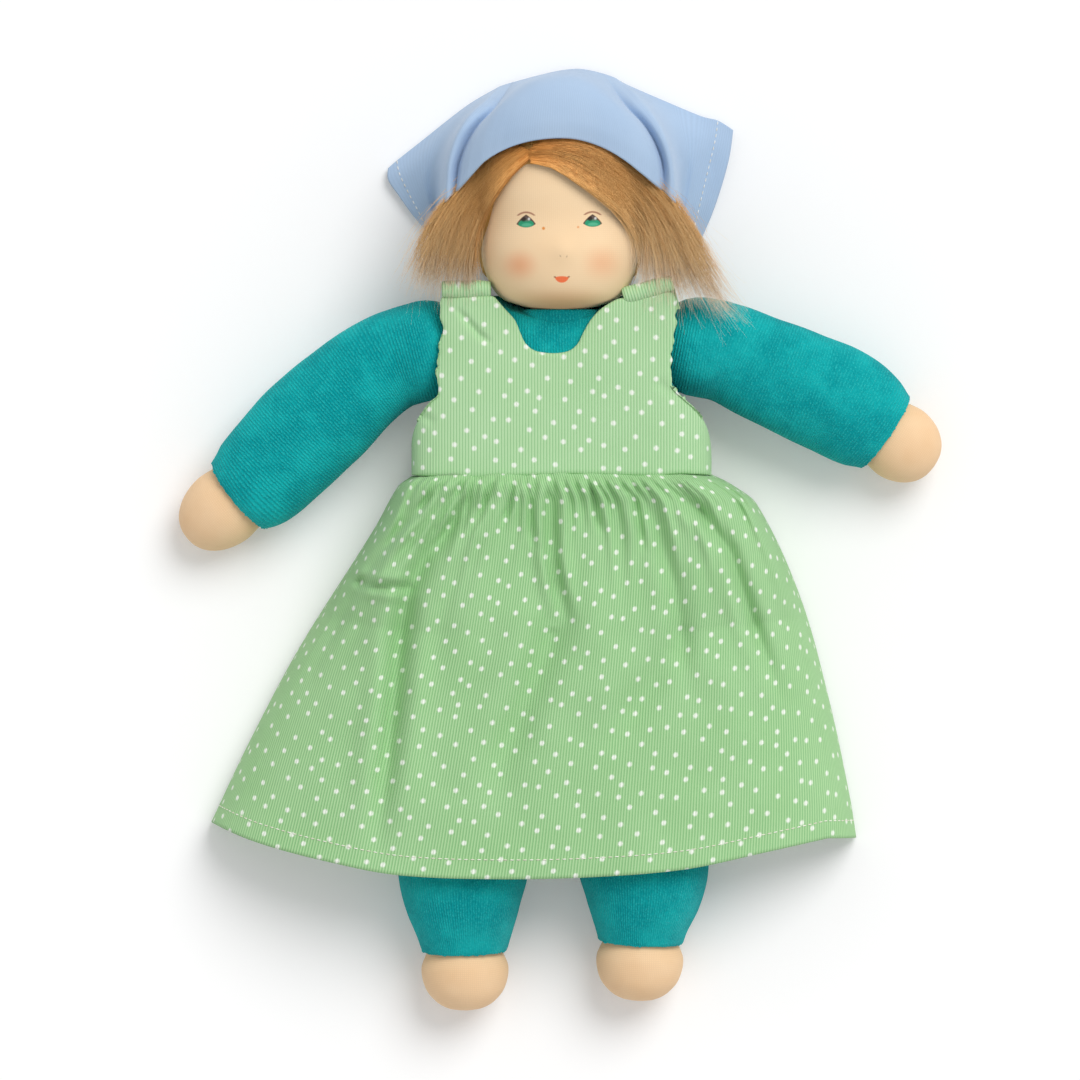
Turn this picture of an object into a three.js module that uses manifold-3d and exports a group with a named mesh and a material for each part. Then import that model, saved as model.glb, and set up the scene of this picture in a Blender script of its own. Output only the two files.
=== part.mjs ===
// A Waldorf cloth doll with a stuffed body suit, a pinafore dress and a headscarf, lying on its back.
// Millimetres. X runs to the right of someone who looks down on the doll, Y to its head and Z up from the
// floor. Left and right are that person's, so left is towards minus X.
import * as THREE from "three";
import { mergeVertices } from "three/addons/utils/BufferGeometryUtils.js";
import Module from "manifold-3d";

const wasm = await Module();
wasm.setup();

// Cloths and clearances
const gap = 0.3;
const turnClear = 0.8;
const velour = 1.6;
const tricot = 1.2;
const fineCord = 1.2;
const scarfCotton = 1;
const overrun = 3;
const mergeTolerance = 1e-4;

// Trunk, stuffed, lying on the back of the dress
const torsoAxisX = -1.4;
const torsoHalfWidth = 52;
const torsoHalfDepth = 23;
const seatY = -44;
const torsoLength = 141.5;
const torsoTopY = seatY + torsoLength;
const torsoPower = 2.6;
const bodyAxisZ = fineCord + gap + torsoHalfDepth;
const hipBandRadius = 9;
const hipBandInset = 2.5;
const hipBandHalfLength = torsoHalfWidth - hipBandInset;

// Head, with the neck that it turns and nods on
const headAxisX = -0.6;
const headRadius = 33;
const headHeight = 82;
const chinTuck = 5.5;
const chinY = torsoTopY - chinTuck;
const hairThickness = 4;
const fringeThickness = 3;
// Rows are shares of the head's height from the chin and of its radius.
const headOutlineShares = [
  [0, 0.32], [0.02, 0.5], [0.044, 0.67], [0.093, 0.8], [0.18, 0.905], [0.29, 0.96], [0.43, 0.94], [0.58, 0.985],
  [0.73, 0.965], [0.83, 0.87], [0.91, 0.7], [0.965, 0.46], [0.992, 0.2],
];
const coarseHeadShares = headOutlineShares.filter((_, i) => i % 2 === 0);
const widestShare = Math.max(...coarseHeadShares.map(([, width]) => width));
const headAxisZ = scarfCotton + gap + hairThickness + gap + widestShare * headRadius;
const neckRadius = 9.5;
const neckDrop = 8;
const neckLean = 5;
const neckHeight = 18;
const neckPivotY = chinY - neckDrop;
const neckPivotZ = headAxisZ - neckLean;
const neckStringRadius = 0.9;
const nodClearDegrees = 12;
const threadRadius = 0.8;

// Arms, each on a ball-shaped root, whose places are measured from the trunk's side and top
const armRootRadius = 20;
const armHalfWidth = 22;
const armHalfDepth = 16.5;
const armDrop = 7;
const armPower = 2.1;
const wadRadius = 10;
const handHalfWidth = 15.6;
const handHalfDepth = 13.5;
const arms = {
  left: {
    out: 0.6,
    down: 21.7,
    length: 95,
    hand: 29,
    lineShares: [
      [0.154, -0.048], [0.29, -0.143], [0.459, -0.295], [0.6, -0.434], [0.722, -0.556], [0.781, -0.604],
    ],
  },
  right: {
    out: 4.8,
    down: 20.5,
    length: 82,
    hand: 25,
    lineShares: [
      [0.122, -0.024], [0.32, -0.112], [0.505, -0.193], [0.646, -0.251], [0.783, -0.332], [0.898, -0.41],
    ],
  },
};

// Legs, each on a round root below the stitched hip band
const legRootRadius = 22;
const legRootClear = 0.5;
const legPivotY = seatY - hipBandRadius - legRootRadius - legRootClear;
const legHalfWidth = 26.5;
const legHalfDepth = 21.5;
const legDrop = 6;
const legPower = 2.2;
const footHalfWidth = 17.4;
const footHalfDepth = 15.5;
const legThinShare = 0.85;
const legs = {
  left: { out: -27.6, length: 88.3, foot: 25, lineShares: [[-0.06, -0.3], [-0.117, -0.67], [-0.111, -1]] },
  right: { out: 26.4, length: 84.5, foot: 25, lineShares: [[0.05, -0.3], [0.095, -0.67], [0.08, -1]] },
};

// Dress
const waistRise = 69.4;
const waistY = seatY + waistRise;
const bodiceHeight = 71.6;
const bodiceLooseness = 8;
const bodiceHalfWidth = torsoHalfWidth + bodiceLooseness;
const bodiceHalfDepth = torsoHalfDepth + gap + fineCord;
const bodicePower = 6;
const strapWidth = 17;
const strapCentreX = { left: -39, right: 37.5 };
const strapRise = 5.3;
const strapTuck = 9;
const armholeSlack = 4.5;
const skirtHalfWidth = 130;
const skirtLength = 161;
const skirtPuff = 5;
const skirtTopZ = bodyAxisZ + torsoHalfDepth + skirtPuff;
const skirtPower = 2.6;
const foldDepth = 2.4;

// Headscarf
const scarfLooseness = 5.5;
const scarfPuff = 3.5;
const scarfHalfWidth = headRadius + hairThickness + scarfLooseness;
const scarfTopZ = headAxisZ + headRadius + hairThickness + scarfPuff;
const scarfOpenRise = 38;
const scarfOverhang = 15;
const scarfOpenY = chinY + scarfOpenRise;
const scarfTopY = chinY + headHeight + scarfOverhang;
const scarfPower = 2.3;
const scarfWingHalfSpan = 69;
const wingThickness = 2.4;
const wingLift = 3;
const scarfFrontRise = 29;

// How finely the round forms are divided
const headSideCount = 24;
const neckSideCount = 16;
const stringSideCount = 20;
const threadSideCount = 6;
const lockSideCount = 10;
const hoodSideCount = 28;
const trunkSideCount = 24;
const trunkInnerSideCount = 16;
const socketSideCount = 20;
const wadSideCount = 12;
const limbSideCount = 20;
const limbInnerSideCount = 14;
const bodiceSideCount = 28;
const strapStepCount = 8;
const skirtColumnCount = 32;
const skirtRowCount = 11;
const skirtBackStepCount = 10;

const right = new THREE.Vector3(1, 0, 0);
const ahead = new THREE.Vector3(0, 1, 0);
const up = new THREE.Vector3(0, 0, 1);

// Shapes that all the pieces share

function fromTriangles(positions, triangles) {
  let volume = 0;
  const [a, b, c] = [new THREE.Vector3(), new THREE.Vector3(), new THREE.Vector3()];
  for (const [i, j, k] of triangles) {
    a.fromArray(positions, i * 3);
    b.fromArray(positions, j * 3);
    c.fromArray(positions, k * 3);
    volume += a.dot(b.cross(c));
  }
  const index = triangles.flatMap(([i, j, k]) => (volume < 0 ? [i, k, j] : [i, j, k]));
  const geometry = new THREE.BufferGeometry();
  geometry.setAttribute("position", new THREE.Float32BufferAttribute(positions, 3));
  geometry.setIndex(index);
  return geometry;
}

// A closed skin over a row of rings, with each end closed to its middle.
function loft(rings) {
  const around = rings[0].length;
  const positions = rings.flat().flatMap((p) => [p.x, p.y, p.z]);
  const triangles = [];
  for (let r = 0; r + 1 < rings.length; r++) {
    for (let i = 0; i < around; i++) {
      const j = (i + 1) % around;
      const [a, b, c, d] = [r * around + i, r * around + j, (r + 1) * around + j, (r + 1) * around + i];
      triangles.push([a, b, c], [a, c, d]);
    }
  }
  for (const [r, turned] of [[0, true], [rings.length - 1, false]]) {
    const middle = new THREE.Vector3();
    rings[r].forEach((p) => middle.addScaledVector(p, 1 / around));
    const centre = positions.length / 3;
    positions.push(middle.x, middle.y, middle.z);
    for (let i = 0; i < around; i++) {
      const [a, b] = [r * around + i, r * around + ((i + 1) % around)];
      triangles.push(turned ? [centre, b, a] : [centre, a, b]);
    }
  }
  return fromTriangles(positions, triangles);
}

// A ring of points round a centre: an oval when power is 2, and squarer above that.
function ovalRing(centre, across, rise, halfWidth, halfDepth, power, points) {
  return Array.from({ length: points }, (_, i) => {
    const turn = (i / points) * Math.PI * 2;
    const [c, s] = [Math.cos(turn), Math.sin(turn)];
    const reach = (Math.abs(c) ** power + Math.abs(s) ** power) ** (-1 / power);
    return centre
      .clone()
      .addScaledVector(across, halfWidth * c * reach)
      .addScaledVector(rise, halfDepth * s * reach);
  });
}

function toSolid(geometry) {
  const bare = geometry.clone();
  bare.deleteAttribute("normal");
  bare.deleteAttribute("uv");
  const merged = mergeVertices(bare, mergeTolerance);
  return new wasm.Manifold(
    new wasm.Mesh({
      numProp: 3,
      vertProperties: new Float32Array(merged.attributes.position.array),
      triVerts: new Uint32Array(merged.index.array),
    }),
  );
}

function toGeometry(solid) {
  const mesh = solid.getMesh();
  const geometry = new THREE.BufferGeometry();
  const positions = [];
  for (let i = 0; i < mesh.numVert; i++) {
    const at = i * mesh.numProp;
    positions.push(mesh.vertProperties[at], mesh.vertProperties[at + 1], mesh.vertProperties[at + 2]);
  }
  geometry.setAttribute("position", new THREE.Float32BufferAttribute(positions, 3));
  geometry.setIndex(Array.from(mesh.triVerts));
  return geometry;
}

function ball(radius, x, y, z, segments) {
  return toSolid(new THREE.SphereGeometry(radius, segments, segments / 2).translate(x, y, z));
}

function box(lowX, highX, lowY, highY, lowZ, highZ) {
  const geometry = new THREE.BoxGeometry(highX - lowX, highY - lowY, highZ - lowZ);
  return toSolid(geometry.translate((lowX + highX) / 2, (lowY + highY) / 2, (lowZ + highZ) / 2));
}

// A flat outline of [x, y] rows carried from one height to another.
function upright(outline, lowZ, highZ) {
  const shape = new THREE.Shape(outline.map(([x, y]) => new THREE.Vector2(x, y)));
  const geometry = new THREE.ExtrudeGeometry(shape, { depth: highZ - lowZ, bevelEnabled: false, steps: 1 });
  return toSolid(geometry.translate(0, 0, lowZ));
}

// A rod along X or Y.
function rod(radius, from, to, segments) {
  const length = from.distanceTo(to);
  const geometry = new THREE.CylinderGeometry(radius, radius, length, segments);
  geometry.applyQuaternion(
    new THREE.Quaternion().setFromUnitVectors(ahead, to.clone().sub(from).normalize()),
  );
  const middle = from.clone().add(to).multiplyScalar(0.5);
  return toSolid(geometry.translate(middle.x, middle.y, middle.z));
}

// A smooth line through a table of [place, value] rows.
function smooth(rows, place) {
  const last = rows.length - 1;
  if (place <= rows[0][0]) return rows[0][1];
  if (place >= rows[last][0]) return rows[last][1];
  const i = rows.findIndex((row) => row[0] > place) - 1;
  const slope = (k) => {
    const [before, after] = [rows[Math.max(k - 1, 0)], rows[Math.min(k + 1, last)]];
    return (after[1] - before[1]) / (after[0] - before[0]);
  };
  const [p, q] = [rows[i], rows[i + 1]];
  const step = q[0] - p[0];
  const t = (place - p[0]) / step;
  const bend = t * t * (3 - 2 * t);
  return (
    p[1] * (1 - bend) +
    q[1] * bend +
    step * (slope(i) * t * (1 - t) ** 2 - slope(i + 1) * t * t * (1 - t))
  );
}

const parts = new THREE.Group();

const looks = {
  velour: { color: "#0A9A9C", roughness: 0.95 },
  skin: { color: "#F0CFA0", roughness: 0.85 },
  dress: { color: "#9ACB8A", roughness: 0.9 },
  scarf: { color: "#9DB9DF", roughness: 0.8 },
  hair: { color: "#D9A860", roughness: 0.7 },
  wool: { color: "#EDE6D6", roughness: 0.95 },
  thread: { color: "#F4F0E6", roughness: 0.8 },
};

function add(name, geometry, look) {
  geometry.computeVertexNormals();
  const mesh = new THREE.Mesh(geometry, new THREE.MeshStandardMaterial({ ...looks[look], metalness: 0 }));
  mesh.name = name;
  parts.add(mesh);
}

// Head: an inner ball of wool, its eye-line thread and the skin pulled over both.

// The head's outline as a closed turned solid, moved out by offset along its own normals.
function headForm(offset, rows) {
  const line = rows.map(
    ([height, width]) => new THREE.Vector2(width * headRadius, chinY + height * headHeight),
  );
  const moved = line.map((p, i) => {
    const [before, after] = [line[Math.max(i - 1, 0)], line[Math.min(i + 1, line.length - 1)]];
    const along = after.clone().sub(before).normalize();
    return new THREE.Vector2(p.x + along.y * offset, p.y - along.x * offset);
  });
  const profile = [
    new THREE.Vector2(0, moved[0].y),
    ...moved,
    new THREE.Vector2(0, chinY + headHeight + offset),
  ];
  const geometry = new THREE.LatheGeometry(profile, headSideCount);
  return toSolid(orderOut(geometry).translate(headAxisX, 0, headAxisZ));
}

// A turned geometry comes with its faces out or in, by the way its profile runs.
function orderOut(geometry) {
  const bare = geometry.clone();
  bare.deleteAttribute("normal");
  bare.deleteAttribute("uv");
  const merged = mergeVertices(bare, mergeTolerance);
  const index = Array.from(merged.index.array);
  const triangles = [];
  for (let i = 0; i < index.length; i += 3) {
    const [a, b, c] = index.slice(i, i + 3);
    if (a !== b && b !== c && a !== c) triangles.push([a, b, c]);
  }
  return fromTriangles(Array.from(merged.attributes.position.array), triangles);
}

const neckRootShare = 0.875;
const neckFrom = new THREE.Vector3(headAxisX, neckPivotY + neckRootShare * neckDrop, headAxisZ);
const neckTo = new THREE.Vector3(headAxisX, chinY + neckHeight, headAxisZ);
const belowChin = new THREE.Vector3(headAxisX, chinY - overrun, headAxisZ);
const stringCentreY = chinY + 2 * gap + neckStringRadius;
const stringTurnRadius = neckRadius + gap + neckStringRadius;
const stringRecess = rod(
  stringTurnRadius + neckStringRadius + gap,
  belowChin,
  new THREE.Vector3(headAxisX, stringCentreY + neckStringRadius + gap, headAxisZ),
  headSideCount,
);
const headBore = rod(neckRadius + gap, belowChin, neckTo.clone().setY(neckTo.y + gap), neckSideCount);
const [eyeLineShare, eyeWidthShare] = headOutlineShares[6];
const eyeLineY = chinY + eyeLineShare * headHeight;
const eyeLineRadius = eyeWidthShare * headRadius - tricot - gap - threadRadius;

function threadRing(tube) {
  const ring = new THREE.TorusGeometry(eyeLineRadius, tube, threadSideCount, headSideCount);
  ring.rotateX(Math.PI / 2).translate(headAxisX, eyeLineY, headAxisZ);
  return toSolid(orderOut(ring));
}

const headCore = headForm(-tricot - gap, coarseHeadShares)
  .subtract(headBore)
  .subtract(stringRecess)
  .subtract(threadRing(threadRadius + gap));
const headSkin = headForm(0, headOutlineShares)
  .subtract(headForm(-tricot, coarseHeadShares))
  .subtract(headBore)
  .subtract(stringRecess);
add("head_core", toGeometry(headCore), "wool");
add("eye_line_thread", toGeometry(threadRing(threadRadius)), "thread");
add("head_skin", toGeometry(headSkin), "skin");

// Neck: a rolled tail of the inner head on a ball-shaped end, tied with a string where the skin ends.
const neckStalk = ball(neckRadius, headAxisX, neckPivotY, neckPivotZ, neckSideCount).add(
  rod(neckRadius, neckFrom, neckTo, neckSideCount),
);
const neckString = new THREE.TorusGeometry(stringTurnRadius, neckStringRadius, threadSideCount, stringSideCount);
neckString.rotateX(Math.PI / 2).translate(headAxisX, stringCentreY, headAxisZ);
add("neck_stalk", toGeometry(neckStalk), "wool");
add("neck_string", orderOut(neckString), "thread");

// What the nodding head and neck sweep through, which the shoulders leave free.
const nodShares = [0, 0.25, 0.5, 0.75, 1];

function sweptByNod(solid) {
  let swept = null;
  for (const share of nodShares) {
    const turned = solid
      .translate([0, -neckPivotY, -neckPivotZ])
      .rotate([nodClearDegrees * share, 0, 0])
      .translate([0, neckPivotY, neckPivotZ]);
    swept = swept ? swept.add(turned) : turned;
  }
  return swept;
}
const headSweep = sweptByNod(headForm(turnClear, coarseHeadShares)).add(
  sweptByNod(rod(neckRadius + turnClear, neckFrom, neckTo, neckSideCount)),
);

// Hair: a cap over the top and back of the head, a fringe, and a loose lock at each side of the face.
// The hairline is a plane that slants from above the forehead to the nape: each end is a share of the head's
// height from the chin and of its radius in front of its axis.
const hairlineShares = { forehead: [0.707, 0.88], nape: [0.073, -0.27] };
const [foreheadShare, foreheadFrontShare] = hairlineShares.forehead;
const [napeShare, napeFrontShare] = hairlineShares.nape;
const hairlineTurn = Math.atan2(
  (foreheadFrontShare - napeFrontShare) * headRadius,
  (foreheadShare - napeShare) * headHeight,
);

function behindHairline(offset) {
  const reach = headHeight * 2;
  return box(-reach, reach, -reach, reach, -2 * reach, -offset)
    .rotate([THREE.MathUtils.radToDeg(hairlineTurn), 0, 0])
    .translate([headAxisX, chinY + napeShare * headHeight, headAxisZ + napeFrontShare * headRadius]);
}

const wigShell = headForm(gap + hairThickness, coarseHeadShares).subtract(headForm(gap, headOutlineShares));
const napeY = waistY + bodiceHeight + strapRise + 2 * gap;
const belowNape = box(-headHeight, headHeight, 0, napeY, -headHeight, headHeight * 2);
const wigCap = wigShell.intersect(behindHairline(0)).subtract(belowNape);
add("wig_cap", toGeometry(wigCap), "hair");

// Rows are shares of the head's radius from its axis and of its height from the chin.
const fringeShares = [
  [-0.62, 0.7], [-0.3, 0.735], [0.08, 0.72], [0.42, 0.64], [0.7, 0.53], [0.9, 0.42], [1.05, 0.38], [1.25, 0.5],
  [1.25, 1.1], [-0.62, 1.1],
];
const fringeOutline = fringeShares.map(([x, y]) => [headAxisX + x * headRadius, chinY + y * headHeight]);
const fringe = headForm(gap + fringeThickness, coarseHeadShares)
  .subtract(headForm(gap, headOutlineShares))
  .subtract(behindHairline(-gap))
  .intersect(upright(fringeOutline, headAxisZ, scarfTopZ + overrun));
add("hair_fringe", toGeometry(fringe), "hair");

// Each lock is a row of places and half sizes, all shares of the head's radius: across from the head's middle, up
// from the chin, forward of the head's axis, half width and half depth.
const lockShares = {
  left: [
    [-1.1, 1.27, 0.42, 0.1, 0.1], [-1.25, 1.0, 0.38, 0.24, 0.16], [-1.38, 0.7, 0.42, 0.34, 0.17],
    [-1.47, 0.42, 0.47, 0.37, 0.15], [-1.53, 0.21, 0.5, 0.28, 0.12], [-1.56, 0.09, 0.5, 0.1, 0.05],
  ],
  right: [
    [1.08, 1.21, 0.44, 0.1, 0.1], [1.26, 0.88, 0.42, 0.27, 0.17], [1.44, 0.48, 0.47, 0.38, 0.17],
    [1.62, 0.15, 0.51, 0.4, 0.15], [1.9, -0.09, 0.48, 0.32, 0.12], [2.14, -0.24, 0.36, 0.1, 0.05],
  ],
};
const hairClear = headForm(2 * gap + hairThickness, coarseHeadShares);
for (const side of ["left", "right"]) {
  const rings = lockShares[side].map(([x, y, z, wide, deep], i, all) => {
    const [before, after] = [all[Math.max(i - 1, 0)], all[Math.min(i + 1, all.length - 1)]];
    const [from, to] = [before, after].map((row) => new THREE.Vector3(...row.slice(0, 3)));
    const along = to.sub(from).normalize();
    const across = new THREE.Vector3().crossVectors(up, along).normalize();
    const rise = new THREE.Vector3().crossVectors(along, across);
    const centre = new THREE.Vector3(
      headAxisX + x * headRadius,
      chinY + y * headRadius,
      headAxisZ + z * headRadius,
    );
    return ovalRing(centre, across, rise, wide * headRadius, deep * headRadius, 2, lockSideCount);
  });
  add("hair_side_" + side, toGeometry(toSolid(loft(rings)).subtract(hairClear)), "hair");
}

// Headscarf: a hood over the hair whose cloth runs out to two flat wings behind the head.
// Rows: share of the way from the open end to the top edge, share of the half width, share of the top height.
const hoodShares = [
  [-0.75, 1, 1], [0, 1, 1], [0.24, 1, 1], [0.44, 0.975, 0.985], [0.61, 0.91, 0.93], [0.75, 0.81, 0.83],
  [0.86, 0.66, 0.64], [0.95, 0.44, 0.35], [1, 0.19, 0.1],
];

function hood(inset) {
  const rings = hoodShares.map(([place, width, top]) => {
    const highZ = scarfTopZ * top - inset;
    const y = scarfOpenY + (scarfTopY - scarfOpenY) * place - (place > 0.9 ? 2 * inset : 0);
    const centre = new THREE.Vector3(headAxisX, y, (highZ + inset) / 2);
    const halfWidth = scarfHalfWidth * width - inset;
    return ovalRing(centre, right, up, halfWidth, (highZ - inset) / 2, scarfPower, hoodSideCount);
  });
  return toSolid(loft(rings));
}

// The wings' outline, in shares of the half span and of the height from the open end to the top edge.
const wingShares = [
  [0.078, 1], [-0.357, 0.912], [-0.588, 0.742], [-1.005, 0.234], [-0.774, -0.09], [-0.4, -0.2], [0.4, -0.2],
  [0.82, -0.139], [0.988, 0.607], [0.4, 0.84],
];
const wingOutline = wingShares.map(([x, y]) => [
  headAxisX + x * scarfWingHalfSpan,
  scarfOpenY + y * (scarfTopY - scarfOpenY),
]);
const wings = upright(wingOutline, wingLift, wingLift + wingThickness);
const frontTurn = Math.atan2(scarfFrontRise, scarfTopZ - headAxisZ);
const scarfReach = 2 * scarfTopY;
const frontCut = box(-scarfReach, scarfReach, -scarfReach, 0, -scarfReach, scarfReach)
  .rotate([-THREE.MathUtils.radToDeg(frontTurn), 0, 0])
  .translate([headAxisX, scarfOpenY, headAxisZ]);
const napeEdgeY = scarfOpenY - (scarfTopY - scarfOpenY) / 2;
const hoodEnd = box(-scarfReach, scarfReach, -scarfReach, napeEdgeY, -scarfReach, scarfReach);
const scarf = hood(0).subtract(frontCut).subtract(hoodEnd).add(wings).subtract(hood(scarfCotton));
add("headscarf", toGeometry(scarf), "scarf");

// Trunk of the suit, with a hollow for the head and a socket for each arm's root.
// Rows: place as a share from the seat to the top, and shares of the half width and half depth.
const trunkShares = [
  [0.04, 0.9, 0.15], [0.1, 0.95, 0.51], [0.16, 0.985, 0.84], [0.215, 1, 1], [0.4, 1, 1], [0.6, 0.965, 1],
  [0.78, 0.935, 0.99], [0.88, 0.9, 0.93], [0.94, 0.85, 0.78], [0.985, 0.76, 0.5], [1, 0.68, 0.24],
];

const leastDepthShare = 0.06;
const coarseTrunkShares = trunkShares.filter((_, i) => i % 2 === 0);

function trunk(inset, rows, points) {
  const length = torsoTopY - seatY;
  const rings = rows.map(([place, width, depth]) => {
    const y = Math.min(seatY + length * place, torsoTopY - inset);
    const centre = new THREE.Vector3(torsoAxisX, y, bodyAxisZ);
    const halfDepth = Math.max(torsoHalfDepth * depth - inset, torsoHalfDepth * leastDepthShare);
    return ovalRing(centre, right, up, torsoHalfWidth * width - inset, halfDepth, torsoPower, points);
  });
  return toSolid(loft(rings));
}

function hipRod(radius) {
  const reach = torsoHalfWidth * 2;
  const [from, to] = [-reach, reach].map((x) => new THREE.Vector3(x, seatY, bodyAxisZ));
  return rod(radius, from, to, socketSideCount);
}

// How high the inside of the bodice's front lies at a place across it.
function bodiceInsideZ(x) {
  const across = Math.abs(x) / (bodiceHalfWidth - fineCord);
  return bodyAxisZ + (bodiceHalfDepth - fineCord) * (1 - across ** bodicePower) ** (1 / bodicePower);
}

// A back strap: a band that comes from the back, over the shoulder and under the front strap.
// Clearance makes it thicker and wider all round, and past runs its ends on.
function backStrap(side, clearance, past) {
  const centreX = strapCentreX[side];
  const half = strapWidth / 2 + clearance;
  const frontZ = bodiceInsideZ(Math.abs(centreX) + strapWidth / 2) - 2 * gap;
  const endsY = waistY + bodiceHeight + gap;
  const rings = [];
  const place = (y, z, inwardY, inwardZ) => {
    const corner = (sideways, depth) =>
      new THREE.Vector3(centreX + sideways * half, y + inwardY * depth, z + inwardZ * depth);
    rings.push([
      corner(-1, -clearance),
      corner(1, -clearance),
      corner(1, fineCord + clearance),
      corner(-1, fineCord + clearance),
    ]);
  };
  if (past > 0) place(endsY - past, 0, 0, 1);
  for (let i = 0; i <= strapStepCount; i++) {
    const turn = -Math.PI / 2 + (i / strapStepCount) * Math.PI;
    const inward = new THREE.Vector2(-Math.cos(turn) * frontZ, -Math.sin(turn) * 2 * strapRise).normalize();
    place(endsY + strapRise * Math.cos(turn), (frontZ / 2) * (1 + Math.sin(turn)), inward.x, inward.y);
  }
  place(endsY - strapTuck - past, frontZ, 0, -1);
  return toSolid(loft(rings));
}

const shoulderX = {
  left: torsoAxisX - torsoHalfWidth - arms.left.out,
  right: torsoAxisX + torsoHalfWidth + arms.right.out,
};
const shoulders = {
  left: new THREE.Vector3(shoulderX.left, torsoTopY - arms.left.down, bodyAxisZ),
  right: new THREE.Vector3(shoulderX.right, torsoTopY - arms.right.down, bodyAxisZ),
};
const trunkCutters = [
  hipRod(hipBandRadius + gap),
  headSweep,
  ball(neckRadius + turnClear, headAxisX, neckPivotY, neckPivotZ, neckSideCount),
  ...["left", "right"].map((side) =>
    ball(armRootRadius + turnClear, shoulders[side].x, shoulders[side].y, shoulders[side].z, socketSideCount),
  ),
  ...["left", "right"].map((side) => backStrap(side, gap, overrun)),
];

function hollowed(solid) {
  return trunkCutters.reduce((cut, tool) => cut.subtract(tool), solid);
}

const trunkInside = trunk(velour, coarseTrunkShares, trunkInnerSideCount);
const trunkShell = trunk(0, trunkShares, trunkSideCount).subtract(trunkInside);
add("torso_cover", toGeometry(hollowed(trunkShell)), "velour");
add("torso_filling", toGeometry(hollowed(trunk(velour + gap, coarseTrunkShares, trunkInnerSideCount))), "wool");

// Hip band: the suit stitched through across the hips, which the legs fold on.
const hipBandShares = [[-1, 0.35], [-0.96, 0.75], [-0.88, 1], [0.88, 1], [0.96, 0.75], [1, 0.35]];
const hipBand = loft(
  hipBandShares.map(([place, radius]) => {
    const centre = new THREE.Vector3(torsoAxisX + place * hipBandHalfLength, seatY, bodyAxisZ);
    return ovalRing(centre, ahead, up, hipBandRadius * radius, hipBandRadius * radius, 2, trunkInnerSideCount);
  }),
);
add("hip_band", hipBand, "velour");

// Limbs: a closed skin round a middle line, from rows of [place, half width, half depth].
function limb(line, rows, inset, power, points) {
  const length = line.getLength();
  const rings = rows.map(([place, width, depth]) => {
    const at = Math.min(Math.max(place / length, 0), 1);
    const centre = line.getPointAt(at);
    const along = line.getTangentAt(at);
    if (place < 0) centre.addScaledVector(along, place);
    if (place > length) centre.addScaledVector(along, place - length);
    const across = new THREE.Vector3().crossVectors(up, along).normalize();
    const rise = new THREE.Vector3().crossVectors(along, across);
    return ovalRing(centre, across, rise, width - inset, depth - inset, power, points);
  });
  return toSolid(loft(rings));
}

// All that lies past a place on a middle line, as a block to cut with.
function beyond(line, place, size) {
  const at = Math.min(Math.max(place / line.getLength(), 0), 1);
  const block = new THREE.BoxGeometry(size, size, size).translate(0, size / 2, 0);
  block.applyQuaternion(new THREE.Quaternion().setFromUnitVectors(ahead, line.getTangentAt(at)));
  const centre = line.getPointAt(at);
  return toSolid(block.translate(centre.x, centre.y, centre.z));
}

// The ball at the root of an arm, as rows that run out into the arm.
const rootTurns = [-72, -48, -22, 0, 20, 38];
const armShares = [
  [0.33, 0.945, 0.95], [0.55, 1, 1], [0.75, 0.995, 0.98], [0.92, 0.92, 0.93], [1, 0.8, 0.85],
];
const handShares = [
  [-0.45, 0.8, 0.78], [-0.12, 0.88, 0.86], [0.06, 0.94, 0.9], [0.35, 1, 1], [0.62, 0.9, 0.92], [0.83, 0.68, 0.72],
  [0.95, 0.4, 0.45],
];

function armRows(length, inset) {
  const rows = rootTurns.map((turn) => {
    const angle = THREE.MathUtils.degToRad(turn);
    const radius = armRootRadius - inset;
    const round = radius * Math.cos(angle);
    return [radius * Math.sin(angle), (turn > 0 ? Math.max(round, radius) : round) + inset, round + inset];
  });
  return [...rows, ...armShares.map(([place, width, depth]) => [
    place * length, width * armHalfWidth, depth * armHalfDepth,
  ])];
}

for (const side of ["left", "right"]) {
  const { length, hand, lineShares } = arms[side];
  const pivot = shoulders[side];
  const outward = side === "left" ? -length : length;
  const line = new THREE.CatmullRomCurve3([
    pivot,
    ...lineShares.map(([out, rise], i) => {
      const drop = armDrop * ((i + 1) / lineShares.length) ** 2;
      return new THREE.Vector3(pivot.x + outward * out, pivot.y + rise * length, pivot.z - drop);
    }),
  ]);
  const cuff = line.getLength();
  const coarse = (inset) => armRows(cuff, inset).filter((_, i) => i % 2 === 0);
  const end = [cuff + overrun, armShares.at(-1)[1] * armHalfWidth, armShares.at(-1)[2] * armHalfDepth];
  const cavity = limb(line, [...coarse(velour), end], velour, armPower, limbInnerSideCount);
  const sleeve = limb(line, armRows(cuff, 0), 0, armPower, limbSideCount).subtract(cavity);
  const filling = limb(line, [...coarse(velour + gap), end], velour + gap, armPower, limbInnerSideCount)
    .intersect(beyond(line, 0, length * 2))
    .subtract(beyond(line, cuff + hand * handShares[0][0] - gap, armHalfWidth * 4))
    .subtract(ball(wadRadius + turnClear, pivot.x, pivot.y, pivot.z, wadSideCount));
  const handRows = handShares.map(([place, width, depth]) => [
    cuff + place * hand, width * handHalfWidth, depth * handHalfDepth,
  ]);
  add("shoulder_wad_" + side, toGeometry(ball(wadRadius, pivot.x, pivot.y, pivot.z, wadSideCount)), "wool");
  add("sleeve_" + side, toGeometry(sleeve), "velour");
  add("arm_filling_" + side, toGeometry(filling), "wool");
  add("hand_" + side, toGeometry(limb(line, handRows, 0, 2, limbInnerSideCount)), "skin");
}

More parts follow.
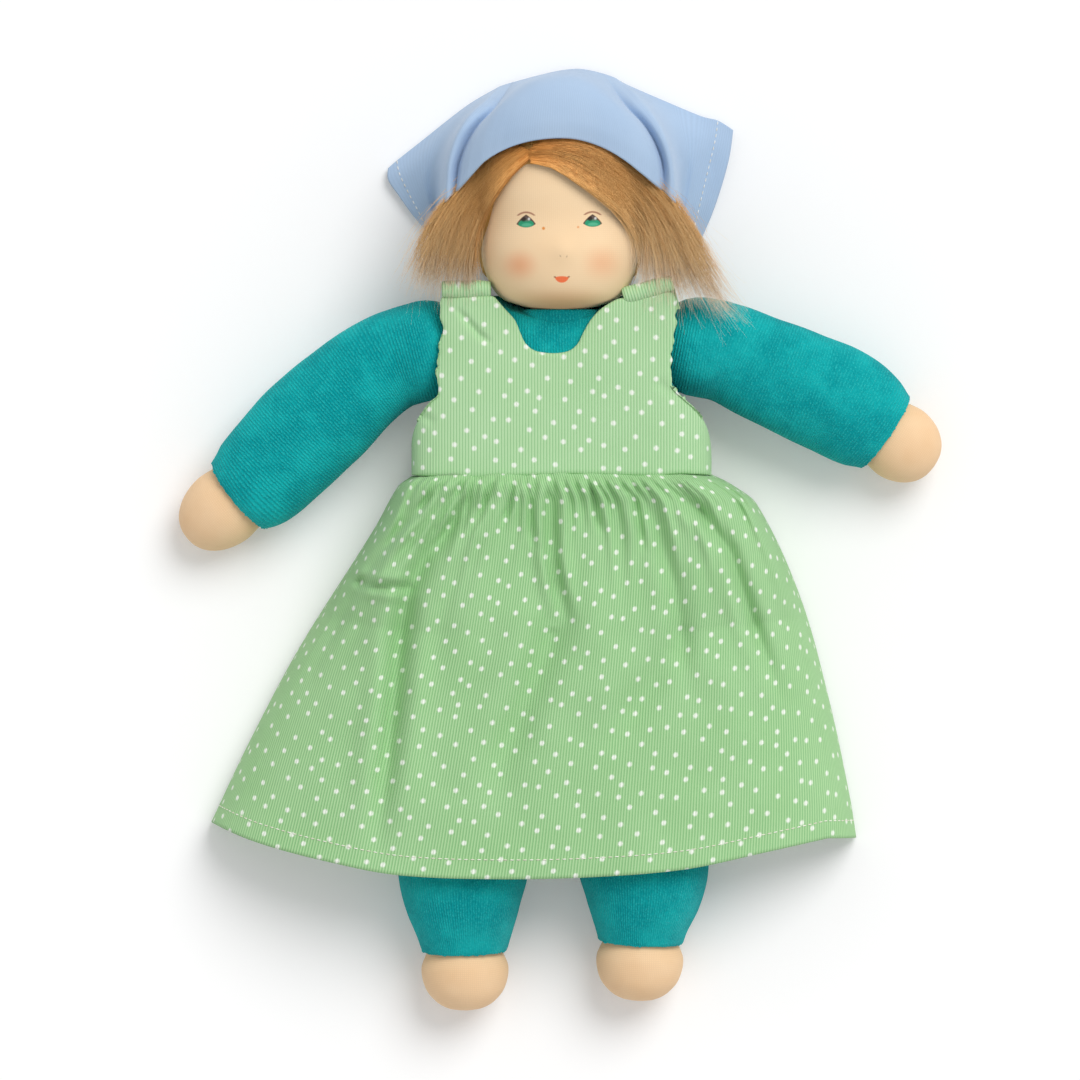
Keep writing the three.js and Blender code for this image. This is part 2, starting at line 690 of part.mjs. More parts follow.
// Legs: rows of the root thin out towards the hip band, so that the legs fold up on it.
const legRootTurns = [-70, -45, -20, 0];
const legShares = [
  [0.14, 0.86, 1], [0.38, 0.95, 1], [0.67, 0.975, 0.98], [0.83, 0.845, 0.88], [0.95, 0.7, 0.76], [1, 0.65, 0.72],
];
const footShares = [
  [-0.5, 0.72, 0.78], [-0.14, 0.82, 0.84], [0.03, 0.86, 0.88], [0.3, 1, 1], [0.62, 0.92, 0.94], [0.83, 0.7, 0.74],
  [0.95, 0.42, 0.46],
];

function legRows(length, inset) {
  const rows = legRootTurns.map((turn) => {
    const angle = THREE.MathUtils.degToRad(turn);
    const radius = legRootRadius - inset;
    const place = radius * Math.sin(angle);
    const depth = Math.min(legThinShare * (seatY - legPivotY + place), legHalfDepth);
    return [place, radius * Math.cos(angle) + inset, depth];
  });
  return [...rows, ...legShares.map(([place, width, depth]) => [
    place * length, width * legHalfWidth, depth * legHalfDepth,
  ])];
}

for (const side of ["left", "right"]) {
  const { out, length, foot, lineShares } = legs[side];
  const pivot = new THREE.Vector3(torsoAxisX + out, legPivotY, bodyAxisZ);
  const line = new THREE.CatmullRomCurve3([
    pivot,
    ...lineShares.map(([across, down], i) => {
      const drop = legDrop * ((i + 1) / lineShares.length) ** 3;
      return new THREE.Vector3(pivot.x + across * length, pivot.y + down * length, pivot.z - drop);
    }),
  ]);
  const cuff = line.getLength();
  const coarse = (inset) => legRows(cuff, inset).filter((_, i) => i % 2 === 1);
  const end = [cuff + overrun, legShares.at(-1)[1] * legHalfWidth, legShares.at(-1)[2] * legHalfDepth];
  const cavity = limb(line, [...coarse(velour), end], velour, legPower, limbInnerSideCount);
  const cover = limb(line, legRows(cuff, 0), 0, legPower, limbSideCount).subtract(cavity);
  const filling = limb(line, [...coarse(velour + gap), end], velour + gap, legPower, limbInnerSideCount)
    .subtract(beyond(line, cuff + foot * footShares[0][0] - gap, legHalfWidth * 4));
  const footRows = footShares.map(([place, width, depth]) => [
    cuff + place * foot, width * footHalfWidth, depth * footHalfDepth,
  ]);
  add("leg_cover_" + side, toGeometry(cover), "velour");
  add("leg_filling_" + side, toGeometry(filling), "wool");
  add("foot_" + side, toGeometry(limb(line, footRows, 0, 2, limbInnerSideCount)), "skin");
}

// Bodice: a boxy tube of fine cord cut out to armholes and necklines, in a front and a back panel.
// Outlines are shares of the half width and of the height from the waist to the straps' tops.
const armholeShares = {
  left: [
    [-0.803, 1], [-0.79, 0.872], [-0.81, 0.761], [-0.83, 0.594], [-0.803, 0.456], [-0.863, 0.417], [-0.977, 0.317],
    [-1.05, 0.25], [-1.05, 0],
  ],
  right: [
    [1.05, 0], [1.05, 0.25], [0.903, 0.317], [0.81, 0.411], [0.73, 0.511], [0.737, 0.65], [0.757, 0.817], [0.77, 1],
  ],
};
const frontNeckShares = [
  [0.44, 1], [0.4, 0.95], [0.29, 0.91], [0.19, 0.845], [0.137, 0.789], [0.09, 0.733], [-0.03, 0.689], [-0.17, 0.7],
  [-0.237, 0.733], [-0.31, 0.86], [-0.43, 0.95], [-0.47, 1],
];
const backNeckShares = [[0.383, 1], [0.26, 0.93], [0, 0.9], [-0.3, 0.93], [-0.423, 1]];

function bodiceTube(inset, past) {
  const rings = [waistY + gap - past, waistY + bodiceHeight + past].map((y) => {
    const centre = new THREE.Vector3(0, y, bodyAxisZ);
    const [halfWidth, halfDepth] = [bodiceHalfWidth - inset, bodiceHalfDepth - inset];
    return ovalRing(centre, right, up, halfWidth, halfDepth, bodicePower, bodiceSideCount);
  });
  return toSolid(loft(rings));
}

const bodiceShell = bodiceTube(0, 0).subtract(bodiceTube(fineCord, overrun));
const underArms = ["left", "right"].map((side) => {
  const { x, y, z } = shoulders[side];
  const [low, high] = [-overrun, z + armRootRadius + turnClear].map((end) => new THREE.Vector3(x, y, end));
  return rod(armHalfWidth + armholeSlack, low, high, trunkSideCount);
});

function panel(neckShares, lowZ, highZ) {
  const outline = [...armholeShares.left, ...armholeShares.right, ...neckShares].map(([x, y]) => [
    x * bodiceHalfWidth,
    waistY + y * bodiceHeight,
  ]);
  return bodiceShell.intersect(upright(outline.reverse(), lowZ, highZ));
}

const bodiceTopZ = bodyAxisZ + bodiceHalfDepth;
const bodiceFront = underArms.reduce(
  (cut, tool) => cut.subtract(tool),
  panel(frontNeckShares, bodyAxisZ + gap / 2, bodiceTopZ + overrun),
);
add("bodice_front", toGeometry(bodiceFront), "dress");
add("bodice_back", toGeometry(panel(backNeckShares, -overrun, bodyAxisZ - gap / 2)), "dress");
add("back_strap_left", toGeometry(backStrap("left", 0, 0)), "dress");
add("back_strap_right", toGeometry(backStrap("right", 0, 0)), "dress");

// Skirt: gathered to the waist, with a front that stands over the legs in long folds and a flat back.
// Rows are shares of the length down from the waist, then of the way from the bodice's half width to the hem's.
const skirtEdgeShares = {
  left: [[0, 0.071], [0.12, 0.209], [0.4, 0.629], [0.63, 0.921], [0.83, 1.149]],
  right: [[0, 0.034], [0.07, 0.257], [0.3, 0.508], [0.56, 0.677], [0.8, 0.796], [0.9, 0.833]],
};
const hemShares = [
  [-1.08, 0.83], [-0.878, 0.904], [-0.589, 0.966], [-0.405, 0.991], [-0.125, 1], [0.155, 0.996], [0.466, 0.976],
  [0.718, 0.934], [0.91, 0.9],
];
// Main folds: where each starts and ends across the skirt, its width and its depth, in shares of the half width
// and of the fold depth.
const skirtFoldShares = [
  [-0.04, -0.14, 0.09, -1.5], [-0.27, -0.56, 0.1, -1.2], [0.42, 0.62, 0.1, -1.1], [0.16, 0.22, 0.12, -0.8],
  [-0.15, -0.36, 0.1, 0.9], [0.08, 0.06, 0.1, 0.9], [0.3, 0.42, 0.1, 0.8], [-0.4, -0.76, 0.1, 0.7],
];

// Shares of the length down by which the skirt is round, has risen off the waist and has its full folds.
const roundedByShare = 0.4;
const risenByShare = 0.33;
const foldedByShare = 0.25;

// A point of the front: across runs round from the left edge to the right, and down from the waist to the hem.
function skirtPoint(across, down, inset) {
  const angle = Math.PI * (1 - across);
  const [c, s] = [Math.cos(angle), Math.sin(angle)];
  const power = THREE.MathUtils.lerp(bodicePower, skirtPower, Math.min(1, down / roundedByShare));
  const reach = (Math.abs(c) ** power + Math.abs(s) ** power) ** (-1 / power);
  const sideways = c * reach;
  const endShare = smooth(hemShares, sideways);
  const [leftX, rightX] = ["left", "right"].map((side) => {
    const rows = skirtEdgeShares[side];
    return THREE.MathUtils.lerp(bodiceHalfWidth, skirtHalfWidth, smooth(rows, down * rows.at(-1)[0]));
  });
  const x = (rightX - leftX) / 2 + sideways * ((rightX + leftX) / 2 - inset);
  const lowZ = fineCord + gap;
  const risen = Math.sin((Math.min(1, down / risenByShare) * Math.PI) / 2);
  const topZ = THREE.MathUtils.lerp(bodiceTopZ, skirtTopZ, risen);
  let z = lowZ + (topZ - lowZ - inset) * s * reach;
  const start = Math.min(1, down / foldedByShare);
  for (const [from, to, width, depth] of skirtFoldShares) {
    const centre = THREE.MathUtils.lerp(from, to, down) * skirtHalfWidth;
    const off = (x - centre) / (width * skirtHalfWidth);
    z += foldDepth * depth * start * Math.exp(-off * off) * s;
  }
  const y = waistY - down * endShare * skirtLength;
  return new THREE.Vector3(x, y, Math.max(z, lowZ));
}

function skirtFront() {
  const positions = [];
  const triangles = [];
  const columns = skirtColumnCount + 1;
  const rows = skirtRowCount + 1;
  for (const inset of [0, fineCord]) {
    for (let d = 0; d < rows; d++) {
      for (let a = 0; a < columns; a++) {
        const p = skirtPoint(a / skirtColumnCount, d / skirtRowCount, inset);
        positions.push(p.x, p.y, p.z);
      }
    }
  }
  const at = (layer, d, a) => (layer * rows + d) * columns + a;
  for (let d = 0; d < skirtRowCount; d++) {
    for (let a = 0; a < skirtColumnCount; a++) {
      for (const layer of [0, 1]) {
        const quad = [at(layer, d, a), at(layer, d + 1, a), at(layer, d + 1, a + 1), at(layer, d, a + 1)];
        if (layer) quad.reverse();
        triangles.push([quad[0], quad[1], quad[2]], [quad[0], quad[2], quad[3]]);
      }
    }
  }
  const rim = [];
  for (let a = 0; a < skirtColumnCount; a++) rim.push([0, a]);
  for (let d = 0; d < skirtRowCount; d++) rim.push([d, skirtColumnCount]);
  for (let a = skirtColumnCount; a > 0; a--) rim.push([skirtRowCount, a]);
  for (let d = skirtRowCount; d > 0; d--) rim.push([d, 0]);
  rim.forEach(([d, a], i) => {
    const [e, b] = rim[(i + 1) % rim.length];
    const quad = [at(0, d, a), at(0, e, b), at(1, e, b), at(1, d, a)];
    triangles.push([quad[0], quad[1], quad[2]], [quad[0], quad[2], quad[3]]);
  });
  return fromTriangles(positions, triangles);
}
add("skirt_front", skirtFront(), "dress");

const backSteps = Array.from({ length: skirtBackStepCount + 1 }, (_, i) => i / skirtBackStepCount);
const skirtBackOutline = [
  ...backSteps.map((down) => skirtPoint(0, down, 0)),
  ...backSteps.slice(1).map((across) => skirtPoint(across, 1, 0)),
  ...backSteps.toReversed().slice(1).map((down) => skirtPoint(1, down, 0)),
].map((p) => [p.x, p.y]);
add("skirt_back", toGeometry(upright(skirtBackOutline, 0, fineCord)), "dress");

export default parts;
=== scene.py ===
# A Waldorf cloth doll in a velour body suit, a pinafore dress of fine cord and a cotton headscarf, on its
# back. Tables and sizes are in millimetres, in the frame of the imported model: X to the right, Y to the
# head, Z up.
import math

import bmesh
import bpy
import numpy as np
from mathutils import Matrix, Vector, noise


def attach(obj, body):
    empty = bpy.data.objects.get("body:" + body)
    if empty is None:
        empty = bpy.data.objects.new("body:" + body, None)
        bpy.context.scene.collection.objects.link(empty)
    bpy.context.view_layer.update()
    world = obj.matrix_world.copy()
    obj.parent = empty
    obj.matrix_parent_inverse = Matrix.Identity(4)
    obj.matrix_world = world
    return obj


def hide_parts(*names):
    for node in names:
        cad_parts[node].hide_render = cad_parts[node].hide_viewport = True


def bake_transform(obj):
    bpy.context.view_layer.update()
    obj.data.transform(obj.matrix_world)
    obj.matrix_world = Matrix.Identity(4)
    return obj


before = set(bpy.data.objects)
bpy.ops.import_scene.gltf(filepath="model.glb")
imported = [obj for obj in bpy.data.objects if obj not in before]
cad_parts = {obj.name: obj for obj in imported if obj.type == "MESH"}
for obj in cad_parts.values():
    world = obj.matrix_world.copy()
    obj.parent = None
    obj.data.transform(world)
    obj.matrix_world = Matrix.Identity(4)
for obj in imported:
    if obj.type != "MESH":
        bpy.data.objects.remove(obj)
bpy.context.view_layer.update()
scene = bpy.context.scene
scene.view_settings.view_transform = "Standard"
MM = 0.001


# Table top, studio light and camera
# The doll lies on seamless white paper under one large softbox at the upper right, with white walls that
# fill the shadows. The camera hangs straight above its middle with a long lens.
def srgb(text):
    """An sRGB hex colour as the linear colour that Blender works in."""
    shares = [int(text[at:at + 2], 16) / 255 for at in (1, 3, 5)]
    return tuple(s / 12.92 if s <= 0.04045 else ((s + 0.055) / 1.055) ** 2.4 for s in shares) + (1,)


def put(tree, kind, feeds=None, **settings):
    """Adds a node with its settings. Each input is fed a value, a hex colour, a node or a node's output."""
    made = tree.nodes.new(kind)
    for name, value in settings.items():
        setattr(made, name, value)
    for socket, value in (feeds or {}).items():
        if isinstance(value, bpy.types.Node):
            value = value.outputs[0]
        if isinstance(value, bpy.types.NodeSocket):
            tree.links.new(value, made.inputs[socket])
        else:
            coloured = isinstance(value, str) and value.startswith("#")
            made.inputs[socket].default_value = srgb(value) if coloured else value
    return made


def new_material(name):
    """An empty material, and its node tree, which waits for a shader and an output."""
    made = bpy.data.materials.new(name)
    made.use_nodes = True
    made.node_tree.nodes.clear()
    return made, made.node_tree


def stand(name, data):
    """Puts a mesh, light or camera into the scene."""
    made = bpy.data.objects.new(name, data)
    scene.collection.objects.link(made)
    return made


# Matt white paper: it takes the doll's shadow, and the camera sees it a little lighter than the lamps make
# it.
paper, tree = new_material("studio_paper")
seen = put(tree, "ShaderNodeLightPath")
matt = put(tree, "ShaderNodeBsdfDiffuse", {"Color": "#F2F2F2"})
glow = put(tree, "ShaderNodeEmission", {"Color": "#FFFFFF", "Strength": 0.13})
lit = put(tree, "ShaderNodeAddShader", {0: matt, 1: glow})
shown = put(tree, "ShaderNodeMixShader", {0: seen.outputs["Is Camera Ray"], 1: matt, 2: lit})
put(tree, "ShaderNodeOutputMaterial", {"Surface": shown})

TABLE_HALF, TABLE_LOW = 6000 * MM, 0.3 * MM
table_mesh = bpy.data.meshes.new("table_top")
corners = [(x * TABLE_HALF, y * TABLE_HALF, -TABLE_LOW) for x, y in ((-1, -1), (1, -1), (1, 1), (-1, 1))]
table_mesh.from_pydata(corners, [], [(0, 1, 2, 3)])
table_mesh.materials.append(paper)
stand("table_top", table_mesh)

WALL_LIGHT = 0.58
studio = bpy.data.worlds.new("studio_walls")
studio.use_nodes = True
tree = studio.node_tree
tree.nodes.clear()
seen = put(tree, "ShaderNodeLightPath").outputs
rays = {0: seen["Is Camera Ray"], 1: seen["Is Glossy Ray"]}
mirrored = put(tree, "ShaderNodeMath", rays, operation="MAXIMUM")
strength = put(tree, "ShaderNodeMapRange", {"Value": mirrored, "To Min": WALL_LIGHT, "To Max": 1.0})
white = put(tree, "ShaderNodeBackground", {"Color": "#FFFFFF", "Strength": strength})
put(tree, "ShaderNodeOutputWorld", {"Surface": white})
scene.world = studio

SOFTBOX_WAY = Vector((0.46, 0.66, 1.0))
softbox = bpy.data.lights.new("softbox", "SUN")
softbox.energy, softbox.angle = 1.74, math.radians(36)
hung = stand("softbox", softbox)
hung.rotation_mode = "QUATERNION"
hung.rotation_quaternion = SOFTBOX_WAY.to_track_quat("Z", "Y")

FRAME_SIDE, FRAME_MIDDLE = 432, Vector((-8.6, -0.2, 30))
CAMERA_RISE, SENSOR = 10000, 36
lens = bpy.data.cameras.new("camera")
lens.sensor_width, lens.lens = SENSOR, SENSOR * CAMERA_RISE / FRAME_SIDE
lens.clip_start, lens.clip_end = 0.1, 20
scene.camera = stand("camera", lens)
scene.camera.location = (FRAME_MIDDLE + Vector((0, 0, CAMERA_RISE))) * MM


# Trunk and hips of the body suit
# The suit is teal cotton velour, a knitted cloth with a fine looped pile, sewn shut and stuffed hard with
# wool. The trunk has a hollow for the head and one for each arm's root, and is stitched through across the
# hips.
def smooth(rows, places):
    """A smooth line through rows of [place, value], read at each of some places."""
    xs, ys = np.asarray(rows, float).T
    last = len(xs) - 1
    before, after = np.maximum(np.arange(last + 1) - 1, 0), np.minimum(np.arange(last + 1) + 1, last)
    slopes = (ys[after] - ys[before]) / (xs[after] - xs[before])
    places = np.clip(places, xs[0], xs[-1])
    at = np.clip(np.searchsorted(xs, places, side="right") - 1, 0, last - 1)
    step = xs[at + 1] - xs[at]
    t = (places - xs[at]) / step
    bend = t * t * (3 - 2 * t)
    ends = step * (slopes[at] * t * (1 - t) ** 2 - slopes[at + 1] * t * t * (1 - t))
    return ys[at] * (1 - bend) + ys[at + 1] * bend + ends


def two_ways(table, places, half_width=1, half_depth=1):
    """Half widths and half depths at some places, from a table of [place, width, depth]."""
    table = np.asarray(table, float)
    return smooth(table[:, [0, 1]], places) * half_width, smooth(table[:, [0, 2]], places) * half_depth


def rings_round(centres, across, rise, half_widths, half_depths, power, count):
    """Rings of points round a row of centres: ovals when power is 2, and squarer above that."""
    turns = np.arange(count) / count * 2 * np.pi
    c, s = np.cos(turns), np.sin(turns)
    reach = (np.abs(c) ** power + np.abs(s) ** power) ** (-1 / power)
    wide = half_widths[:, None, None] * (c * reach)[None, :, None]
    deep = half_depths[:, None, None] * (s * reach)[None, :, None]
    across, rise = (np.broadcast_to(way, centres.shape)[:, None] for way in (across, rise))
    return centres[:, None] + across * wide + rise * deep


def add_piece(name, points, faces, uv, material):
    """A smooth mesh in the model's frame, with its cloth's flat millimetres as the UV map named cloth."""
    mesh = bpy.data.meshes.new(name)
    mesh.from_pydata((np.asarray(points, float) * MM).tolist(), [], faces)
    layer = mesh.uv_layers.new(name="cloth")
    layer.data.foreach_set("uv", np.asarray(uv, np.float32).ravel())
    mesh.polygons.foreach_set("use_smooth", [True] * len(mesh.polygons))
    if material:
        mesh.materials.append(material)
    return stand(name, mesh)


def close_skin(name, rings, wale=lambda r, i: 0, course=lambda r, i: 0, material=None):
    """A closed skin over rings. Wale and course give each ring's and each column's place in the flat cloth.
    Where the last ring is the first one again the skin is a hoop, and otherwise its ends are closed."""
    ring_count, around = rings.shape[:2]
    hoop = np.allclose(rings[0], rings[-1])
    points = np.vstack([rings.reshape(-1, 3), rings[0].mean(0), rings[-1].mean(0)][:1 if hoop else 3])
    faces, uv = [], []
    for r in range(ring_count - 1):
        for i in range(around):
            j = (i + 1) % around
            faces.append((r * around + i, r * around + j, (r + 1) * around + j, (r + 1) * around + i))
            for ring, column in ((r, i), (r, i + 1), (r + 1, i + 1), (r + 1, i)):
                uv.append((wale(ring, column), course(ring, column)))
    for r, pole in () if hoop else ((0, ring_count * around), (ring_count - 1, ring_count * around + 1)):
        for i in range(around):
            corners = [r * around + i, r * around + (i + 1) % around, pole]
            faces.append(tuple(corners if r else corners[::-1]))
            uv += [(wale(r, k), course(r, k)) for k in (i, i + 1, i)]
    made = add_piece(name, points, faces, uv, material)
    shape = bmesh.new()
    shape.from_mesh(made.data)
    bmesh.ops.remove_doubles(shape, verts=shape.verts, dist=1e-6)
    bmesh.ops.recalc_face_normals(shape, faces=shape.faces)
    shape.to_mesh(made.data)
    shape.free()
    return made


def keep_modifier(piece, name):
    """Makes a modifier's result the piece's own mesh."""
    bpy.context.view_layer.objects.active = piece
    bpy.ops.object.modifier_apply(modifier=name)


def lump(points, size, depth, seed):
    """How far a hand-stuffed surface stands out at each point, in soft lumps of one size."""
    return np.array([noise.noise(Vector(p) / size + Vector((seed, 0, 0))) for p in points]) * depth


def cloth_and_place(tree):
    """Where a point lies in the flat cloth, in millimetres, and in the model, in metres."""
    return put(tree, "ShaderNodeUVMap", uv_map="cloth"), put(tree, "ShaderNodeTexCoord").outputs["Object"]


def mixed(tree, share, low, high):
    """Two colours mixed by a share."""
    return put(tree, "ShaderNodeMix", {0: share, 6: low, 7: high}, data_type="RGBA").outputs[2]


def ranged(tree, value, low=0.0, high=1.0, to_low=0.0, to_high=1.0, ends="SMOOTHSTEP"):
    """A value's run from low to high, as a run from to_low to to_high."""
    feeds = {"Value": value, "From Min": low, "From Max": high, "To Min": to_low, "To Max": to_high}
    return put(tree, "ShaderNodeMapRange", feeds, interpolation_type=ends)


def maths(tree, operation, *values):
    """Some values put through one operation."""
    return put(tree, "ShaderNodeMath", dict(enumerate(values)), operation=operation)


def ribbed(tree, where, pitch, axis="X", wobble=0.0, detail=1.0, detail_scale=1.0):
    """Ribs one pitch apart, as a run from 0 in the valleys to 1 on the crests."""
    feeds = {"Vector": where, "Scale": math.pi / (10 * pitch), "Distortion": wobble, "Detail": detail}
    feeds["Detail Scale"] = detail_scale
    return put(tree, "ShaderNodeTexWave", feeds, bands_direction=axis).outputs["Fac"]


def clouded(tree, where, size, detail, rough=0.5, twist=0.0):
    """Clouds of one size, as a run about 0.5."""
    feeds = {"Vector": where, "Scale": 1 / size, "Detail": detail, "Roughness": rough, "Distortion": twist}
    return put(tree, "ShaderNodeTexNoise", feeds)


NO_SHEEN = (0.0, 0.5, "#FFFFFF")


def cover(tree, colour, roughness, shine=0.5, sheen=NO_SHEEN, relief=None, strength=1.0, high=0.0):
    """Ends a material: its colour, its roughness and gloss, its sheen as (weight, roughness, tint), and a
    relief of so many millimetres."""
    shader = put(tree, "ShaderNodeBsdfPrincipled", {
        "Base Color": colour, "Roughness": roughness, "Specular IOR Level": shine,
        "Sheen Weight": sheen[0], "Sheen Roughness": sheen[1], "Sheen Tint": sheen[2]})
    if relief:
        bump = put(tree, "ShaderNodeBump", {"Strength": strength, "Distance": high * MM, "Height": relief})
        tree.links.new(bump.outputs[0], shader.inputs["Normal"])
    put(tree, "ShaderNodeOutputMaterial", {"Surface": shader})
    return shader


# Cotton velour knitted with a looped pile: rows of tiny loops that scatter light, lighter where they stand
# up, darker where they are brushed flat, and a pale bloom at the edges where the eye looks along the pile.
WALE_MM, LOOP_MM, BRUSHED_MM = 1.15, 0.85, 16
velour, tree = new_material("looped_cotton_velour")
cloth, place = cloth_and_place(tree)
rows = ribbed(tree, cloth, WALE_MM, wobble=2.2, detail=2.0, detail_scale=2.5)
loops = put(tree, "ShaderNodeTexVoronoi", {"Vector": place, "Scale": 1 / (LOOP_MM * MM), "Randomness": 0.9})
brushed = clouded(tree, place, BRUSHED_MM * MM, 4.0, 0.6)
ground = mixed(tree, ranged(tree, brushed, 0.36, 0.66), "#00959A", "#10ADAE")
tips = ranged(tree, loops, 0.1, 0.75, 0.55, 0.0)
pile = mixed(tree, maths(tree, "MULTIPLY", tips, rows), ground, "#35CCC8")
relief = maths(tree, "MULTIPLY_ADD", loops, -0.8, rows)
cover(tree, pile, 0.95, 0.12, (0.4, 0.4, "#79DEDA"), relief, 0.75, 0.35)

RIGHTWARD, UPWARD = (1.0, 0, 0), (0, 0, 1.0)
BODY_AXIS_Z = 24.5
TRUNK_X, TRUNK_HALF, TRUNK_DEEP, TRUNK_POWER = -1.4, 52, 23, 2.6
SEAT_Y, TRUNK_TOP = -44, 97.5
TRUNK_TABLE = [
    [0.04, 0.9, 0.15], [0.1, 0.95, 0.51], [0.16, 0.985, 0.84], [0.215, 1, 1], [0.4, 1, 1], [0.6, 0.965, 1],
    [0.78, 0.935, 0.99], [0.88, 0.9, 0.96], [0.94, 0.85, 0.89], [0.985, 0.76, 0.72], [1, 0.68, 0.4],
]
SHOULDERS = {"left": (-54, 75.8, BODY_AXIS_Z), "right": (55.4, 77, BODY_AXIS_Z)}
HEAD_X, HEAD_Z, CHIN_Y = -0.6, 37.455, 92
HEAD_RADIUS, HEAD_HEIGHT = 33, 82
HEAD_OUTLINE = [
    [0, 0.32], [0.02, 0.5], [0.044, 0.67], [0.093, 0.8], [0.18, 0.905], [0.29, 0.96], [0.43, 0.94],
    [0.58, 0.985], [0.73, 0.965], [0.83, 0.87], [0.91, 0.7], [0.965, 0.46], [0.992, 0.2], [1, 0.02],
]
NECK_PIVOT = np.array((HEAD_X, 84, 32.45))
SHOULDER_ROOM, NECK_ROOM, FOLD_ROOM, CHIN_ROOM = 20.9, 10.4, 9.4, 0.9


def in_a_row(x, y, z):
    """Points in a row from x, y and z, each a number or a row of numbers."""
    return np.stack(np.broadcast_arrays(x, y, z), 1)


def head_rings(offset, count, shares):
    """The head's turned form, moved out by offset, as rings up from the chin."""
    radii = smooth(HEAD_OUTLINE, shares) * HEAD_RADIUS + offset
    heights = CHIN_Y + shares * HEAD_HEIGHT + offset * (2 * shares - 1)
    return rings_round(in_a_row(HEAD_X, heights, HEAD_Z), RIGHTWARD, UPWARD, radii, radii, 2, count)


places = np.linspace(0.04, 1, 60)
centres = in_a_row(TRUNK_X, SEAT_Y + places * (TRUNK_TOP - SEAT_Y), BODY_AXIS_Z)
sizes = two_ways(TRUNK_TABLE, places, TRUNK_HALF, TRUNK_DEEP)
rings = rings_round(centres, RIGHTWARD, UPWARD, *sizes, TRUNK_POWER, 96)
trunk = close_skin("trunk_of_suit", rings, material=velour)
tools = []
for side in ("left", "right"):
    at = [v * MM for v in SHOULDERS[side]]
    bpy.ops.mesh.primitive_uv_sphere_add(segments=40, ring_count=24, radius=SHOULDER_ROOM * MM, location=at)
    tools.append(bpy.context.object)
for nod in (0, 4, 8, 12):
    c, s = math.cos(math.radians(nod)), math.sin(math.radians(nod))
    chin = head_rings(CHIN_ROOM, 40, np.linspace(0, 0.5, 16)) - NECK_PIVOT
    tools.append(close_skin("chin_room", chin @ ((1, 0, 0), (0, c, s), (0, -s, c)) + NECK_PIVOT))
at = [v * MM for v in NECK_PIVOT]
bpy.ops.mesh.primitive_uv_sphere_add(segments=32, ring_count=20, radius=NECK_ROOM * MM, location=at)
tools.append(bpy.context.object)
bpy.ops.mesh.primitive_cylinder_add(
    vertices=48, radius=FOLD_ROOM * MM, depth=130 * MM, location=(0, SEAT_Y * MM, BODY_AXIS_Z * MM),
    rotation=(0, math.pi / 2, 0))
tools.append(bpy.context.object)
bpy.ops.object.select_all(action="DESELECT")
for tool in tools:
    cut = trunk.modifiers.new("cut", "BOOLEAN")
    cut.operation, cut.object, cut.solver = "DIFFERENCE", tool, "EXACT"
    keep_modifier(trunk, "cut")
    bpy.data.objects.remove(tool)
remesh = trunk.modifiers.new("felted", "REMESH")
remesh.mode, remesh.voxel_size, remesh.use_smooth_shade = "VOXEL", 0.9 * MM, True
soften = trunk.modifiers.new("soften", "SMOOTH")
soften.factor, soften.iterations = 0.5, 2
keep_modifier(trunk, "felted")
keep_modifier(trunk, "soften")

# The felted mesh has lost its cloth map: a new one lies flat on it as seen from above.
layer = trunk.data.uv_layers.get("cloth") or trunk.data.uv_layers.new(name="cloth")
at = np.empty(len(trunk.data.vertices) * 3, np.float32)
trunk.data.vertices.foreach_get("co", at)
corner = np.empty(len(trunk.data.loops), np.int32)
trunk.data.loops.foreach_get("vertex_index", corner)
layer.data.foreach_set("uv", (at.reshape(-1, 3) / MM)[corner][:, :2].ravel())
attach(trunk, "torso")
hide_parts("torso_cover", "torso_filling")

# The suit's neckline is drawn in round the neck, just under the chin: a soft collar that follows the nod.
# Its rows are [y, z, half width, half depth], up its outside and down its bore.
COLLAR = np.array([
    (85.5, 33.6, 16.6, 11.8), (87.6, 34.2, 16.6, 12.0), (89.6, 35.2, 16.4, 12.0), (91.0, 36.5, 15.6, 11.8),
    (91.9, 37.2, 14.6, 11.2), (91.6, 37.2, 10.1, 10.1), (88.5, 36.0, 9.9, 9.6), (85.5, 34.2, 9.9, 9.9),
    (85.5, 33.6, 16.6, 11.8),
])
centres = in_a_row(HEAD_X, COLLAR[:, 0], COLLAR[:, 1])
rings = rings_round(centres, RIGHTWARD, UPWARD, COLLAR[:, 2], COLLAR[:, 3], 2.1, 64)
collar = close_skin("collar_of_suit", rings, lambda r, i: i * 1.4, lambda r, i: r * 2.0, velour)
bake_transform(collar)

HIP_HALF, HIP_RADIUS = 49.5, 9
places = np.array([-1, -0.985, -0.96, -0.92, -0.88, *np.linspace(-0.8, 0.8, 9), 0.88, 0.92, 0.96, 0.985, 1])
HIP_TABLE = [[-1, 0.35], [-0.96, 0.75], [-0.88, 1], [0.88, 1], [0.96, 0.75], [1, 0.35]]
radii = smooth(HIP_TABLE, places) * HIP_RADIUS
centres = in_a_row(TRUNK_X + places * HIP_HALF, SEAT_Y, BODY_AXIS_Z)
rings = rings_round(centres, (0, 1.0, 0), UPWARD, radii, radii, 2, 32)
hips = close_skin("hip_band_of_suit", rings, lambda r, i: places[r] * HIP_HALF, lambda r, i: i * 1.8, velour)
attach(hips, "seat")
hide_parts("hip_band")


# Arms and hands
# Each sleeve is a tube of the same velour, seamed underneath and stuffed, on a ball-shaped root. Its cut
# edge is left open at the wrist, where the hand, a stuffed ball of skin tricot, is drawn in.
def ruler(points):
    """How far along its own line each point lies."""
    return np.concatenate([[0], np.cumsum(np.linalg.norm(np.diff(points, axis=0), axis=1))])


